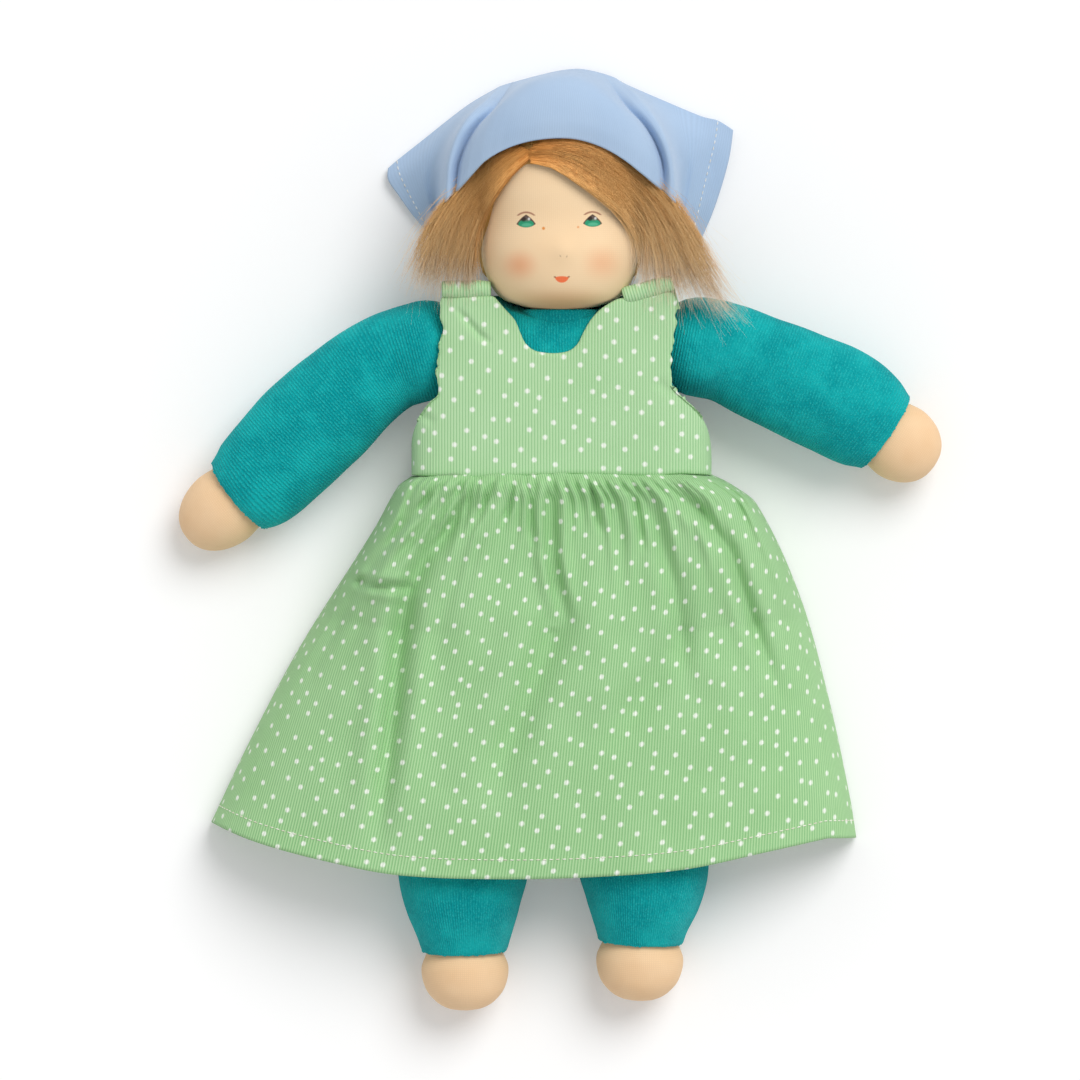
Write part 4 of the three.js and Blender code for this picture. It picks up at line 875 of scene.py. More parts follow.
# Hair sewn over the cap: it runs down from the crown, and shows when the scarf is off.
CAP_HAIRS, CAP_STEPS = 3200, 7
rng = np.random.default_rng(16)
down = np.linspace(0, 1, CAP_STEPS)
share = rng.uniform(0.42, 0.995, CAP_HAIRS)[:, None] - rng.uniform(0.18, 0.36, CAP_HAIRS)[:, None] * down
angle = rng.uniform(0, 2 * np.pi, CAP_HAIRS)[:, None] + rng.normal(0, 0.1, CAP_HAIRS)[:, None] * down
share = np.clip(share, 0.09, 0.995)
radius = smooth(HEAD_OUTLINE, share) * HEAD_RADIUS + 1.5 + rng.uniform(0, 1.6, CAP_HAIRS)[:, None]
heights = CHIN_Y + share * HEAD_HEIGHT + 2.6 * (share - 0.5)
strands = np.stack([HEAD_X + radius * np.cos(angle), heights, HEAD_Z + radius * np.sin(angle)], 2)
strands = strands[(behind_hairline(strands) > 2).all(axis=1)]
marks = np.tile(np.linspace(0.1, 0.6, CAP_STEPS), len(strands))
hair_piece("hair_over_cap", strands, marks, rng.uniform(0.1, 0.9, len(strands)), 0.13, 0.4)


# Headscarf
# One piece of soft blue cotton jersey, sewn to a flat bag: the front is drawn over the head and pleated at
# each side, and its corners lie behind the head as two wings, hemmed with a line of running stitches.

# Brushed cotton jersey: a matt pale blue with faint wales and a soft light edge.
SCARF_KNIT_MM, JERSEY_THICK = 0.9, 0.9
scarf_cotton, tree = new_material("brushed_cotton_jersey")
cloth, place = cloth_and_place(tree)
wales = ribbed(tree, cloth, SCARF_KNIT_MM, wobble=1.5, detail=2.0)
blue = mixed(tree, clouded(tree, place, 25 * MM, 4.0), "#A2BBD8", "#B2C8E1")
threads = ranged(tree, wales, to_low=0.97, to_high=1.02, ends="LINEAR")
drawn = put(tree, "ShaderNodeVectorMath", {0: blue, "Scale": threads}, operation="SCALE")
cover(tree, drawn, 0.8, 0.2, (0.3, 0.5, "#EDF1F8"), wales, 0.25, 0.12)


def woven(name, grid, across, up, material, thickness, order=(0, 1, 2, 3)):
    """Cloth of one thickness under a grid of points. Across and up give each point's place in the flat
    cloth; with one column more than the grid they close it to a tube. Order is each face's way round."""
    rows, columns = grid.shape[:2]
    index = np.arange(rows * columns).reshape(rows, columns)
    index = np.hstack([index, index[:, :across.shape[1] - columns]])
    faces, uv = [], []
    for r in range(rows - 1):
        for k in range(index.shape[1] - 1):
            corners = [(r, k), (r, k + 1), (r + 1, k + 1), (r + 1, k)]
            corners = [corners[c] for c in order]
            faces.append(tuple(int(index[c]) for c in corners))
            uv += [(across[c], up[c]) for c in corners]
    piece = add_piece(name, grid.reshape(-1, 3), faces, uv, material)
    thick = piece.modifiers.new("cloth", "SOLIDIFY")
    thick.thickness, thick.offset, thick.use_rim = thickness * MM, -1, True
    keep_modifier(piece, "cloth")
    return piece


def sheet_area(rows):
    """The area of a grid of points, in square metres."""
    a, b = rows[1:, :-1] - rows[:-1, :-1], rows[:-1, 1:] - rows[:-1, :-1]
    c, d = rows[:-1, 1:] - rows[1:, 1:], rows[1:, :-1] - rows[1:, 1:]
    halves = (np.linalg.norm(np.cross(one, other), axis=2).sum() for one, other in ((a, b), (c, d)))
    return 0.5 * sum(halves) * MM * MM


def knot_columns(lines, steps):
    """Columns between neighbouring lines, rounded across them."""
    lines = np.array(lines)
    out = []
    for k, (a, b) in enumerate(zip(lines[:-1], lines[1:])):
        before, after = lines[max(k - 1, 0)], lines[min(k + 2, len(lines) - 1)]
        for t in np.arange(steps[k]) / steps[k]:
            h1, h2, h3 = t * t * (3 - 2 * t), t * (1 - t) ** 2, t * t * (1 - t)
            out.append(a * (1 - h1) + b * h1 + 0.5 * ((b - before) * h2 - (after - a) * h3))
    return out + [lines[-1]]


def flat_line(rows, count):
    """A smooth line through rows of [x, y], on the floor."""
    return even_line([(x, y, 0) for x, y in rows], count)[0]


# Lines up the front of the scarf, from its lower edge to its top fold, as [x, y, z] rows.
SCARF_LINES = [
    [(-54.8, 124.3, 4), (-60, 130.5, 4), (-65, 137.5, 4), (-69.6, 144.5, 4), (-69.6, 148.8, 3.4)],
    [(-54.2, 125.2, 4.6), (-57.5, 131.8, 5), (-61.6, 139.5, 5), (-65.2, 147.5, 5), (-66, 152, 3.6)],
    [(-51.5, 127.8, 6), (-53.5, 134.5, 7), (-56.5, 144.5, 8), (-57.5, 152.5, 8), (-56.5, 159.5, 4)],
    [(-48.8, 131, 9), (-49.8, 139, 11), (-50, 149.5, 13), (-47, 159.5, 15), (-42.5, 168, 13),
     (-38.5, 173.6, 5)],
    [(-47.2, 134.3, 47), (-47, 141.5, 48), (-46.3, 149.5, 50), (-43.6, 159, 51), (-39, 167.5, 47),
     (-32.7, 174, 34), (-26.5, 180.8, 4)],
    [(-45.4, 135.6, 54), (-45, 142, 55), (-44.1, 149.5, 56), (-41.4, 158, 56), (-36.8, 166, 54),
     (-30.8, 172.5, 46), (-23.5, 182.2, 4)],
    [(-42.4, 138.8, 52), (-41.8, 143.4, 51), (-41, 149.5, 50.5), (-38.2, 157, 51), (-33.8, 164.4, 49.5),
     (-27.4, 171.4, 44), (-19.5, 183.4, 4)],
]
SCARF_LINES_RIGHT = [
    [(40.2, 139.4, 52), (40.5, 144.8, 51), (39.8, 151, 50.5), (37, 158.5, 50.5), (32.8, 165.4, 49),
     (26.6, 172, 44), (17, 186.8, 4)],
    [(43.4, 136.2, 54), (43.6, 143.5, 55), (42.6, 151, 56), (40, 159.5, 56), (35.8, 167, 53), (30, 174, 46),
     (21.5, 185.2, 4)],
    [(45.9, 133.7, 47), (45.8, 142.5, 48), (44.7, 151, 50), (42, 160.5, 50), (38, 168.5, 46),
     (32.2, 176.4, 33), (26, 182.6, 4)],
    [(47.6, 131.5, 10), (48, 140.5, 12), (48.3, 149.5, 13), (47.3, 159.5, 14), (44.5, 168.5, 12),
     (42, 175.6, 5)],
    [(49.5, 129.3, 6), (51.5, 138.5, 7), (53.5, 149.5, 8), (55, 160, 7.5), (56, 169.8, 4)],
    [(53.3, 124.8, 4.6), (56, 136.5, 5), (59, 149, 5), (61.6, 160, 5), (62.8, 168, 3.6)],
    [(56.3, 120.8, 4), (60.6, 131, 4), (64.5, 142.5, 4), (67.5, 154, 4), (68.9, 164.2, 3.4)],
]
FRONT_ARC = [
    (-42.4, 138.8), (-36.9, 144.6), (-31.2, 150.4), (-22.6, 155.4), (-12.6, 158.6), (0, 159.8), (8, 158.9),
    (17, 155.8), (25, 151.2), (32, 145.9), (40.2, 139.4),
]
TOP_FOLD = [(-19.5, 183.4), (-8.3, 186.4), (0, 188.2), (6.8, 188.8), (12.4, 188), (17, 186.8)]
CROWN = [[0, 72.6], [0.12, 73.4], [0.3, 70.5], [0.5, 62.5], [0.7, 47], [0.85, 28], [0.95, 12], [1, 4]]
UNDER_EDGE = [
    (-54.8, 124.3), (-46, 120.5), (-35, 114), (-22, 104), (0, 101), (22, 104), (35, 114), (46, 119),
    (56.3, 120.8),
]
ROWS_UP, HOOD_COLUMNS, LEVEL_ROW, ARC_POINTS = 84, 96, 20, 200
left, right = ([even_line(line, ROWS_UP)[0] for line in lines] for lines in (SCARF_LINES, SCARF_LINES_RIGHT))
front_arc, top_fold = flat_line(FRONT_ARC, ARC_POINTS), flat_line(TOP_FOLD, ARC_POINTS)
columns = knot_columns(left, [5, 6, 7, 8, 5, 5])[:-1]
v = np.linspace(0, 1, ROWS_UP)
square = 1.7 + 0.5 * np.clip(v / 0.35, 0, 1)
for k in range(HOOD_COLUMNS + 1):
    lean = math.sin((k / HOOD_COLUMNS - 0.5) * math.pi)
    share = 0.5 + 0.5 * lean
    at = int(round(share * (ARC_POINTS - 1)))
    low, high = front_arc[at], top_fold[at]
    column = left[-1] * (1 - share) + right[0] * share
    edge = column[:, 2].copy()
    column = column + (low - column[0]) * (1 - v)[:, None] + (high - column[-1]) * v[:, None]
    column[:, 2] = edge + (smooth(CROWN, v) - edge) * (1 - np.abs(lean) ** square) ** (1 / square)
    columns.append(column)
columns += knot_columns(right, [5, 5, 8, 7, 6, 5])[1:]
upper = np.array(columns).transpose(1, 0, 2)
column_count = upper.shape[1]
under_edge = flat_line(UNDER_EDGE, 400)
level = upper[LEVEL_ROW]
across = (level[:, 0] - level[0, 0]) / (level[-1, 0] - level[0, 0])
under = under_edge[np.clip((across * 399).astype(int), 0, 399)]
lower = []
for v in np.linspace(1, 0, 40):
    row = upper[-1] * v + under * (1 - v)
    row[:, 2] = 1.0 + (upper[-1, :, 2] - 1.0) * max(0, (v - 0.97) / 0.03) * 0.4
    lower.append(row)
sheet = np.vstack([upper, np.array(lower)])
maps = np.broadcast_arrays(ruler(level)[None], ruler(sheet[:, column_count // 2])[:, None])
scarf = woven("headscarf_of_cotton", sheet, *maps, scarf_cotton, JERSEY_THICK)
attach(scarf, "headscarf")
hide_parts("headscarf")

# Running stitches: a line of points becomes short rounded threads lying along it.
stitch_tree, entry, (_, pitch_in, long_in, thread_in, yarn_in) = geometry_tree(
    "stitches_along_line", {
        "Line": "Geometry", "Pitch": "Float", "Stitch length": "Float", "Thread radius": "Float",
        "Thread": "Material"})
curve = put(stitch_tree, "GeometryNodeMeshToCurve", {"Mesh": entry["Line"]})
evenly = {"Curve": curve, "Length": entry["Pitch"]}
dots = put(stitch_tree, "GeometryNodeResampleCurve", evenly, mode="LENGTH")
way = put(stitch_tree, "GeometryNodeInputTangent")
turn = put(stitch_tree, "FunctionNodeAlignRotationToVector", {"Vector": way}, axis="X")
bead = put(stitch_tree, "GeometryNodeMeshUVSphere", {"Segments": 8, "Rings": 5, "Radius": 1.0})
half = maths(stitch_tree, "MULTIPLY", entry["Stitch length"], 0.5)
thin = entry["Thread radius"]
size = put(stitch_tree, "ShaderNodeCombineXYZ", {0: half, 1: thin, 2: thin})
placed = put(stitch_tree, "GeometryNodeInstanceOnPoints", {
    "Points": dots, "Instance": bead, "Rotation": turn, "Scale": size})
end_tree(stitch_tree, placed, entry["Thread"])


def stitched(name, line, pitch, length, radius, yarn):
    """A row of stitches along a line of [x, y, z] rows."""
    edges = [(k, k + 1) for k in range(len(line) - 1)]
    sizes = {pitch_in: pitch * MM, long_in: length * MM, thread_in: radius * MM, yarn_in: yarn}
    return grow(name, line, edges, stitch_tree, sizes)


for side, column in (("left", 5), ("right", column_count - 6)):
    row = stitched("wing_stitches_" + side, upper[3:-2, column] + (0, 0, 0.1), 2.5, 1.7, 0.2, linen)
    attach(row, "headscarf")
sheet_area(sheet)


# Cut edges of the cuffs
# The suit's cuffs are not hemmed: small loops of the velour's ground stand out unevenly all round each cut
# edge.
for body, (path, half_width, half_depth, power) in cuffs.items():
    rng = np.random.default_rng(len(body))
    place, *sizes = (np.array([value]) for value in (path[2] + 0.3, half_width, half_depth))
    ring = limb_rings(path, place, *sizes, power, 150)[0]
    ring = ring + rng.normal(0, 0.16, ring.shape)
    edge = stitched("cuff_loops_" + body, np.vstack([ring, ring[:1]]), 0.95, 1.15, 0.42, velour)
    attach(edge, body)


# Bodice of the pinafore
# Baby cord, a fine ribbed cotton velvet, printed with white dots: a front and a back panel, seamed at the
# sides, with turned edges at the neck and armholes. The back straps come over the shoulders and button
# under the front.
RIB_MM, DOT_MM, DOT_STEP_MM, BODICE_THICK = 1.2, 1.95, 8.0, 0.9


def cord_cloth(name, crests, valleys):
    """Printed baby cord: fine velvet ribs with dull valleys between them, and small soft-edged white dots."""
    made, tree = new_material(name)
    cloth, place = cloth_and_place(tree)
    ribs = ribbed(tree, cloth, RIB_MM, wobble=0.35, detail_scale=0.3)
    fuzz = clouded(tree, cloth, 1 / 2.2, 2.0)
    wash = clouded(tree, place, 22 * MM, 3.0)
    rib_edge = ranged(tree, ribs, 0.08, 0.62)
    # The valleys' darker greens are partly the ground cloth between the ribs and partly painted shade in the
    # grooves.
    green = mixed(tree, rib_edge, mixed(tree, wash, *valleys), mixed(tree, wash, *crests))
    dot_grid = put(tree, "ShaderNodeMapping", {
        "Vector": cloth, "Rotation": (0, 0, 0.42), "Scale": (1 / DOT_STEP_MM, 1 / DOT_STEP_MM, 1)})
    spots = {"Vector": dot_grid, "Scale": 1.0, "Randomness": 0.5}
    dots = put(tree, "ShaderNodeTexVoronoi", spots, voronoi_dimensions="2D")
    ragged = maths(tree, "MULTIPLY_ADD", fuzz, 0.08, dots)
    dot = ranged(tree, ragged, *((DOT_MM / 2 + soft) / DOT_STEP_MM + 0.04 for soft in (0.45, -0.45)))
    inked = maths(tree, "MULTIPLY", dot, ranged(tree, rib_edge, to_low=0.72, ends="LINEAR"))
    relief = maths(tree, "MULTIPLY_ADD", fuzz, 0.25, rib_edge)
    cover(tree, mixed(tree, inked, green, "#F8FCF2"), 0.9, 0.15, (0.25, 0.45, "#DDF3D2"), relief, 0.7, 0.25)
    return made


baby_cord = cord_cloth("printed_baby_cord", ("#A6D196", "#B4DBA6"), ("#86BF80", "#95C98D"))
# The bodice and straps take a paler copy of the same cord.
paler_cord = cord_cloth("printed_baby_cord_paler", ("#B3DAA6", "#C1E3B6"), ("#97CA90", "#A5D29C"))

BODICE_HALF, BODICE_DEEP, BODICE_POWER = 60, 24.5, 5.2
ARMHOLE_LEFT = [
    (-60, 25.7), (-60, 33), (-59.8, 40), (-58.6, 44.5), (-56.5, 49), (-52.4, 54.6), (-49.6, 57),
    (-49.2, 60), (-49.9, 65), (-49.9, 69), (-48.8, 76), (-48.4, 80), (-47.6, 84), (-48.3, 90),
    (-48.4, 95.4),
]
ARMHOLE_RIGHT = [
    (60, 25.7), (60, 33), (59.2, 41), (57.4, 46.4), (54.4, 50.8), (49, 55.6), (44.6, 60.2), (43.8, 63.4),
    (43.9, 69), (44.3, 76), (45.3, 83.5), (46, 90), (46.2, 95.4),
]
# The front's upper edge: the left strap, the neckline and the right strap.
FRONT_TOP = [
    (-48.4, 95.4), (-47.5, 97), (-40, 97.2), (-32, 97.2), (-27, 97), (-25.6, 95.6), (-22.5, 92),
    (-18.6, 87.6), (-16.2, 82), (-14.4, 78.4), (-11, 75.6), (-6.5, 74.6), (-1, 74.5), (3.5, 75.6),
    (6.6, 78.4), (8.6, 82.4), (11.6, 87.6), (15.6, 92), (21.4, 95.6), (23, 96.2), (30, 97), (38, 98.4),
    (43.6, 99), (46.2, 95.4),
]
BACK_TOP = [
    (-48.4, 95.4), (-47.5, 97), (-36, 97.2), (-25.4, 97.2), (-18, 92.4), (0, 90.2), (16, 92.4), (23, 97.2),
    (35, 97.2), (45, 97), (46.2, 95.4),
]
WAIST_SEAM = [
    (-60, 25.7), (-47, 24.9), (-36.6, 24.4), (-20, 25.2), (0, 26.2), (18, 25.9), (36, 25.4), (48, 26.2),
    (60, 25.7),
]
# Creases as lines of [x, y], with the depth and half width of each.
BODICE_CREASES = [
    ([(-42.6, 93), (-37, 86.5), (-32.5, 81.5), (-27.5, 78)], 1.7, 1.3),
    ([(-59, 50.5), (-54, 48.5), (-50, 46)], 0.9, 1.8),
    ([(48, 56), (42, 60), (37, 64)], 0.8, 2.4),
]


def bodice_rise(x, way):
    """How high the bodice lies over the chest, where way is 1, or under the back, where it is -1."""
    share = np.clip(np.abs(x) / BODICE_HALF, 0, 1)
    return BODY_AXIS_Z + way * (BODICE_DEEP - 0.1) * (1 - share ** BODICE_POWER) ** (1 / BODICE_POWER)


def even_outline(rows, count, ease=False):
    """A line through rows of [x, y] at even steps, or at steps that shorten to both ends."""
    t = np.linspace(0, 1, count)
    if ease:
        t = 0.5 - 0.5 * np.cos(np.pi * t)
    return flat_line(rows, 600)[np.round(t * 599).astype(int), :2]


def bodice_panel(name, top, way):
    """A panel between its waist seam, its armholes and its upper edge, laid over the chest or the back."""
    columns, rows = 150, 110
    low, high = even_outline(WAIST_SEAM, columns, True), even_outline(top, columns)
    side_a, side_b = even_outline(ARMHOLE_LEFT, rows), even_outline(ARMHOLE_RIGHT, rows)
    for side in (side_a, side_b):
        ripple = lump(np.column_stack([side, np.zeros(rows)]), 2.6, 0.9, 6.0)
        side[:, 0] += ripple * np.clip((side[:, 1] - 59) / 6, 0, 1)
    u, v = np.linspace(0, 1, columns)[None, :, None], np.linspace(0, 1, rows)[:, None, None]
    grid = low[None] * (1 - v) + high[None] * v + side_a[:, None] * (1 - u) + side_b[:, None] * u
    ends = low[0] * (1 - u) * (1 - v) + low[-1] * u * (1 - v) + high[0] * (1 - u) * v + high[-1] * u * v
    grid = grid - ends
    flat = grid.reshape(-1, 2)
    z = bodice_rise(flat[:, 0], way)
    if way > 0:
        outline = np.vstack([low, side_b[1:], high[-2::-1], side_a[-2:0:-1]])
        edge = 1 - np.clip(inside_by(flat, outline) / 1.6, 0, 1)
        z = z - 0.55 * edge ** 2 - 0.5 * np.exp(-((flat[:, 1] - 24.6) / 1.6) ** 2)
        for line, depth, width in BODICE_CREASES:
            away, share = line_near(flat, line)
            fade = np.clip(4 * share, 0, 1) * np.clip(4 * (1 - share), 0, 1)
            z = z - depth * fade * np.exp(-(away / width) ** 2)
        z = z + lump(np.column_stack([flat, z]), 26, 0.45, 5.0)
    points = np.column_stack([flat, z]).reshape(rows, columns, 3)
    widths = np.linspace(-BODICE_HALF, BODICE_HALF, 1201)
    spread = ruler(np.column_stack([widths, bodice_rise(widths, 1)]))
    across = np.interp(flat[:, 0], widths, spread - spread[600]).reshape(rows, columns)
    order = (0, 1, 2, 3) if way > 0 else (3, 2, 1, 0)
    panel = woven(name, points, across, grid[..., 1], paler_cord, BODICE_THICK, order)
    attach(panel, "torso")
    area = min(sheet_area(points), 0.148 * 0.072)
    return panel


bodice_front = bodice_panel("bodice_front_of_cord", FRONT_TOP, 1)
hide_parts("bodice_front")
bodice_back = bodice_panel("bodice_back_of_cord", BACK_TOP, -1)
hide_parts("bodice_back")

# Each back strap: its middle, width and lean. Its path goes up the shoulder and over it, under the front.
STRAPS = {"left": (-38.0, 20, 0.02), "right": (35.2, 21, 0.28)}
STRAP_HALF_THICK, STRAP_ROLL, STRAP_Y = 0.55, 1.5, 97.6
STRAP_SIDE = [(97.5, 0.3), (100.5, 6), (102.1, 16), (102.3, 28), (102.2, 38), (101.5, 45)]
STRAP_OVER = [(99.9, 1.0), (97.9, -0.5), (95.5, -0.7), (89, -0.7)]
STRAP_ROWS, STRAP_AROUND = 90, 48
turns = np.linspace(0, 2 * np.pi, STRAP_AROUND, endpoint=False)
c, s = np.cos(turns), np.sin(turns)
reach = (np.abs(c) ** 5 + np.abs(s) ** 2.2) ** (-1 / 3.2)
share = np.linspace(0, 1, STRAP_ROWS)
for side, (middle, width, lean) in STRAPS.items():
    high = float(bodice_rise(abs(middle) + width / 2, 1)) - 1.8
    over = [(y, high + up) for y, up in STRAP_OVER]
    line, ways, run = even_line([(0, *row) for row in STRAP_SIDE + over], STRAP_ROWS)
    outward = -np.cross(ways, RIGHTWARD)
    wide, thick = (width / 2 - 0.2) * np.clip(c * reach, -1, 1), np.clip(s * reach, -1, 1)
    past = share - share[np.argmax(line[:, 2])]
    rolled = STRAP_HALF_THICK + STRAP_ROLL * np.exp(-(past / 0.055) ** 2)
    ends = line + outward * (STRAP_HALF_THICK - rolled)[:, None]
    rings = ends[:, None] + np.array(RIGHTWARD) * wide[None, :, None]
    rings = rings + outward[:, None] * (thick[None] * rolled[:, None])[..., None]
    puffed = lump(rings.reshape(-1, 3), 5, 0.7, 8.0).reshape(rings.shape[:2])
    puffed = puffed * np.exp(-(past / 0.1) ** 2)[:, None]
    rings = rings + outward[:, None] * puffed[..., None] - (0, STRAP_Y, 0)
    c_lean, s_lean = math.cos(lean), math.sin(lean)
    rings = rings @ ((c_lean, s_lean, 0), (-s_lean, c_lean, 0), (0, 0, 1)) + (middle, STRAP_Y, 0)
    strap = close_skin(
        "back_strap_" + side + "_of_cord", rings, lambda r, i: float(wide[i % STRAP_AROUND]),
        lambda r, i: run * r / (STRAP_ROWS - 1), paler_cord)
    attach(strap, "torso")
    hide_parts("back_strap_" + side)


# Skirt of the pinafore
# A straight length of the same cord, gathered to the bodice's waist seam: it stands over the legs in long
# folds, lies flat behind, and its hem is turned up and stitched through with white thread.
SKIRT_TOP_Z, SKIRT_SEAM_Z, SKIRT_LOW_Z = 52.5, 49, 1.5
SKIRT_LENGTH, SKIRT_HALF, SKIRT_WAIST_HALF, SKIRT_WAIST_Y = 161, 130, 60, 25.4
SKIRT_COLUMNS, SKIRT_ROWS, BACK_COLUMNS = 340, 120, 50
WAIST_POWER, HEM_POWER, SKIRT_THICK = 6, 2.6, 0.8
EDGE_LEFT = [[0, 0.0], [0.022, 0.075], [0.12, 0.209], [0.4, 0.629], [0.63, 0.921], [0.83, 1.149]]
EDGE_RIGHT = [[0, 0.0], [0.02, 0.1], [0.07, 0.257], [0.3, 0.508], [0.56, 0.677], [0.8, 0.796], [0.9, 0.833]]
HEM = [
    [-1.08, 0.83], [-0.878, 0.904], [-0.589, 0.966], [-0.405, 0.991], [-0.125, 1], [0.155, 0.996],
    [0.466, 0.976], [0.718, 0.934], [0.91, 0.9],
]
# Long folds as lines of [x, y], with the depth and half width of each: below 0 they stand up as ridges.
SKIRT_FOLDS = [
    ([(-3.8, 23), (-4.2, 8), (-3.8, -6.2), (-1.6, -19), (2.6, -34)], 6.4, 2.1),
    ([(1.0, -14), (-2.2, -32), (-6.6, -46), (-14.6, -66), (-30, -106)], 4.2, 6.0),
    ([(-33.8, 23), (-42.6, 7.8), (-54.2, -6.2), (-61.4, -21.4), (-64.6, -40.2), (-66.6, -64.2),
      (-70.6, -96.2), (-74.6, -128)], 6.4, 4.0),
    ([(-86, -15), (-74, -18.6), (-58, -19.4)], 3.4, 1.7),
    ([(-60.6, 22), (-74.6, 3.8), (-92.6, -28), (-104, -52)], 3.4, 2.6),
    ([(-51.6, 23), (-66.6, 3.8), (-84.6, -24.2), (-104.6, -62)], 3.2, 2.4),
    ([(-42.6, 23), (-56.6, 3.8), (-70.6, -14.2)], 2.8, 1.8),
    ([(-11.6, 22), (-12, 8), (-11.4, -4)], 3.0, 1.3),
    ([(-39, 24), (-48, 10), (-57, -6)], 3.6, 1.3),
    ([(-46, 24), (-58, 11), (-70, -3)], 3.2, 1.4),
    ([(-27, 24), (-32, 12), (-37, 0)], 3.2, 1.2),
    ([(-19, 24), (-21, 13), (-24, 5)], 2.6, 1.1),
    ([(11.8, 22), (13.8, 12), (15.8, 2)], 2.6, 1.3),
    ([(29.4, 22), (38.4, 6), (45.4, -18), (51.4, -66)], 2.6, 3.6),
    ([(43, 22), (57.4, 9.8), (66.8, -4.6), (75.4, -30.2), (88.4, -66)], 4.2, 2.8),
    ([(50, -34), (41.7, -48), (30, -66), (17.8, -86)], 2.6, 6.0),
    ([(29, 21), (31, 8), (33, -6)], 2.4, 1.4),
    ([(60.2, 25), (69.4, 18), (76, 4)], 3.0, 2.0),
    ([(-22, 20), (-30, -4), (-38, -30), (-46, -70)], -1.6, 6.5),
    ([(10, 16), (14, -20), (16, -70)], -1.6, 8.0),
    ([(44, 16), (58, -14), (66, -50), (72, -90)], -1.4, 7.0),
    ([(-50, 10), (-74, -30), (-96, -80)], -1.5, 6.0),
]

# The skirt's smooth form: across runs from the left edge to the right, down from the waist to the hem.
down_rows = np.linspace(0, 1, SKIRT_ROWS + 1) ** 1.15
across, down = np.meshgrid(np.linspace(0, 1, SKIRT_COLUMNS + 1), down_rows)
angle = np.pi * (1 - across)
c, s = np.cos(angle), np.maximum(np.sin(angle), 0)
power = WAIST_POWER + (HEM_POWER - WAIST_POWER) * np.minimum(1, down / 0.4)
reach = (np.abs(c) ** power + np.abs(s) ** power) ** (-1 / power)
sideways, upness = c * reach, s * reach
out_left, out_right = (
    SKIRT_WAIST_HALF + (SKIRT_HALF - SKIRT_WAIST_HALF) * smooth(edge, down * edge[-1][0])
    for edge in (EDGE_LEFT, EDGE_RIGHT))
x = (out_right - out_left) / 2 + sideways * (out_right + out_left) / 2
top = SKIRT_SEAM_Z + (SKIRT_TOP_Z - SKIRT_SEAM_Z) * np.sin(np.minimum(1, down / 0.33) * np.pi / 2)
seam = smooth(WAIST_SEAM, x * SKIRT_WAIST_HALF / max(np.abs(x).max(), SKIRT_WAIST_HALF)) + 0.5
y = seam - down * (smooth(HEM, sideways) * SKIRT_LENGTH + seam - SKIRT_WAIST_Y)
form = np.stack([x, y, SKIRT_LOW_Z + (top - SKIRT_LOW_Z) * upness], -1)

# The long folds, and between them short gathers that run out from the seam.
flat = form.reshape(-1, 3).copy()
facing_up = np.clip((upness.ravel() - 0.25) / 0.4, 0, 1)
falls = np.zeros(len(flat))
for line, depth, width in SKIRT_FOLDS:
    away, share = line_near(flat, line)
    fade = np.clip(5 * share + (0.25 if line[0][1] > 15 else 0), 0, 1) * np.clip(3 * (1 - share), 0, 1)
    shoulders = np.exp(-((away - 2.1 * width) / (1.3 * width)) ** 2)
    falls += depth * fade * (np.exp(-(away / width) ** 2) - 0.5 * shoulders)
gather = np.zeros(len(flat))
down_mm = SKIRT_WAIST_Y - flat[:, 1]
share_x = ((x - x[:, :1]) / np.ptp(x, axis=1)[:, None]).ravel()
rng = np.random.default_rng(21)
start = 0.0
while start < 1.0:
    start += rng.uniform(0.018, 0.036)
    half_width = rng.uniform(0.006, 0.011)
    reach_mm = rng.uniform(11, 42)
    drift = rng.normal(0, 0.012)
    height = rng.uniform(2.0, 4.0)
    off = (share_x - start - drift * down_mm / 40) / (half_width * (1 + down_mm / 90))
    fade = np.clip(down_mm / 2.5, 0, 1) * np.exp(-(down_mm / reach_mm) ** 2)
    gather += height * fade * np.exp(-off ** 2)
flat[:, 2] += (gather - falls) * facing_up
sway = lump(flat, 34, 1.3, 2.0) + lump(flat, 15, 0.5, 7.0)
flat[:, 2] += sway * facing_up * np.clip(down_mm / 20, 0, 1)
puff, seam_dip = np.exp(-((down_mm - 5) / 5) ** 2), np.exp(-((down_mm + 0.5) / 1.7) ** 2)
flat[:, 2] += (1.9 * puff - 1.5 * seam_dip) * facing_up

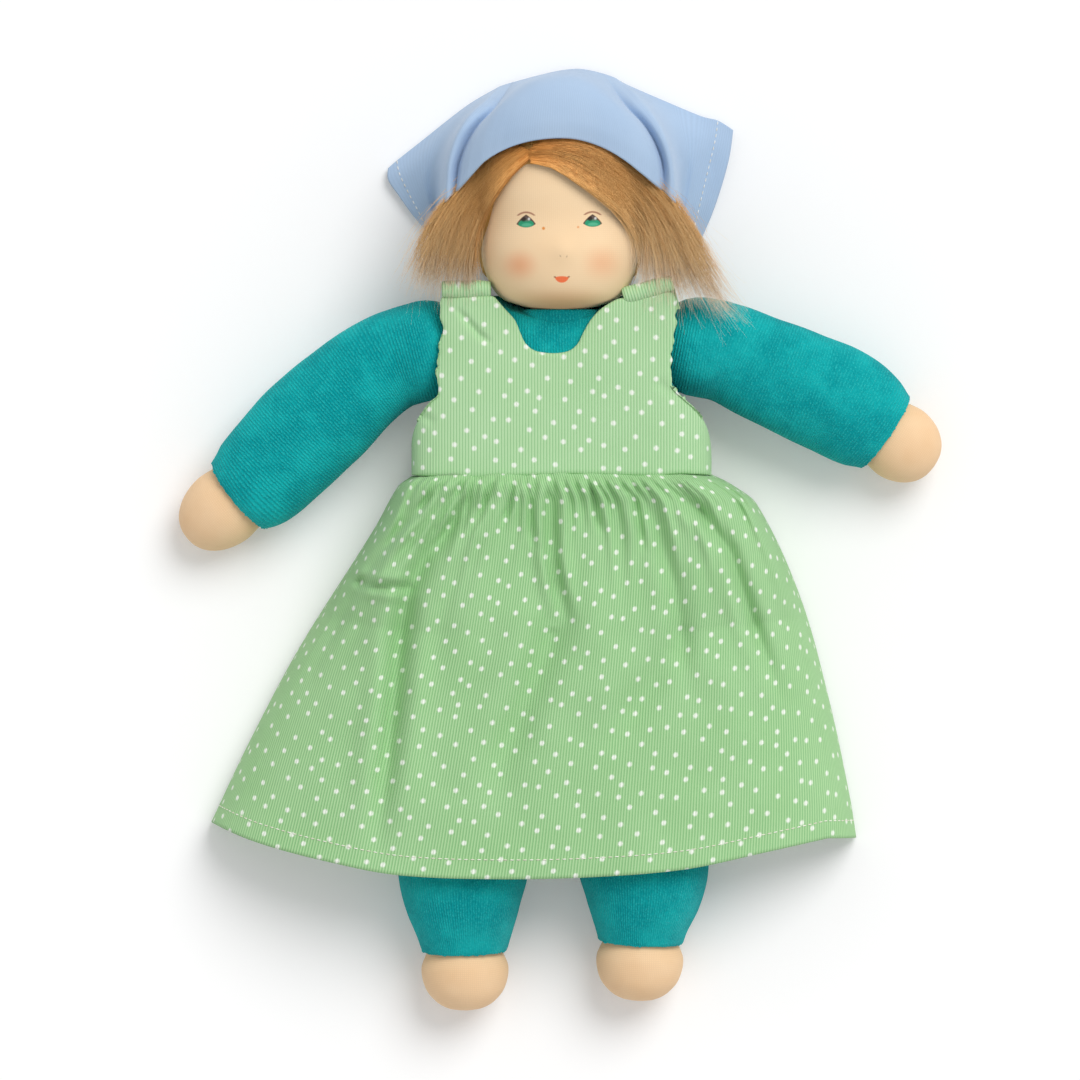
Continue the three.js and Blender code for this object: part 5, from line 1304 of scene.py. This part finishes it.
# Where the trunk or a leg lies close below, the cloth rests on it.
chest = (1 - np.clip(np.abs(flat[:, 0] - TRUNK_X) / TRUNK_HALF, 0, 1) ** TRUNK_POWER) ** (1 / TRUNK_POWER)
least = BODY_AXIS_Z + (TRUNK_DEEP + 1.2) * chest * np.clip((flat[:, 1] - SEAT_Y) / 8, 0, 1)
for pivot_x, length, bends in LEGS.values():
    foot_x = pivot_x + bends[-1][0] * length
    knee = np.interp(-flat[:, 1], [-LEG_PIVOT_Y, length - LEG_PIVOT_Y], [pivot_x, foot_x])
    leg_round = (1 - np.clip(np.abs(flat[:, 0] - knee) / LEG_WIDE, 0, 1) ** LEG_POWER) ** (1 / LEG_POWER)
    leg_top = BODY_AXIS_Z + (LEG_DEEP + 1.4) * leg_round * np.clip((SEAT_Y - flat[:, 1]) / 14, 0, 1)
    least = np.maximum(least, leg_top)
held = least - flat[:, 2]
settled = np.where(held > -1.5, flat[:, 2] + (np.maximum(held, -1.5) + 1.5) ** 2 / 6, flat[:, 2])
settled = np.where(held > 1.5, least, settled)
flat[:, 2] = np.maximum(np.where((down_mm > 1.5) & (facing_up > 0.5), settled, flat[:, 2]), 1.4)
front_grid = flat.reshape(form.shape)

# The back lies flat on the floor and closes the front to a tube.
t = np.linspace(1, 0, BACK_COLUMNS + 2)[1:-1, None]
back = front_grid[:, -1:] * t + front_grid[:, :1] * (1 - t)
hem_of = np.interp(back[-1, :, 0], front_grid[-1, :, 0], front_grid[-1, :, 1])
down_share = (SKIRT_WAIST_Y - back[:, :, 1]) / np.maximum(SKIRT_WAIST_Y - back[-1:, :, 1], 1)
back[:, :, 1] = SKIRT_WAIST_Y - np.clip(down_share, 0, 1) * (SKIRT_WAIST_Y - hem_of)
back[:, :, 2] = 1.2
tube = np.concatenate([front_grid, back], axis=1)
plain = np.concatenate([form, back, form[:, :1]], axis=1)
steps = np.linalg.norm(np.diff(plain, axis=1), axis=2)
hem_run = steps[-1].sum()
run = np.hstack([np.zeros((SKIRT_ROWS + 1, 1)), np.cumsum(steps, 1)])
middle = SKIRT_COLUMNS // 2
cloth_x = (run - run[:, middle:middle + 1]) * (hem_run / run[:, -1:]) ** 0.5
falling = np.cumsum(np.linalg.norm(np.diff(plain, axis=0), axis=2), 0)
cloth_y = -np.vstack([np.zeros((1, falling.shape[1])), falling])
skirt = woven("skirt_of_cord", tube, cloth_x, cloth_y, baby_cord, SKIRT_THICK, (0, 3, 2, 1))
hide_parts("skirt_front", "skirt_back")

HEM_RISE = 0.955
hem_row = int(np.argmin(np.abs(down_rows - HEM_RISE)))
hem_line = front_grid[hem_row, 12:-12] + (0, 0, 0.12)
hem_stitches = stitched("hem_stitches", hem_line, 2.6, 1.9, 0.22, linen)
for piece in (skirt, hem_stitches):
    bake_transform(piece)
sheet_area(tube)
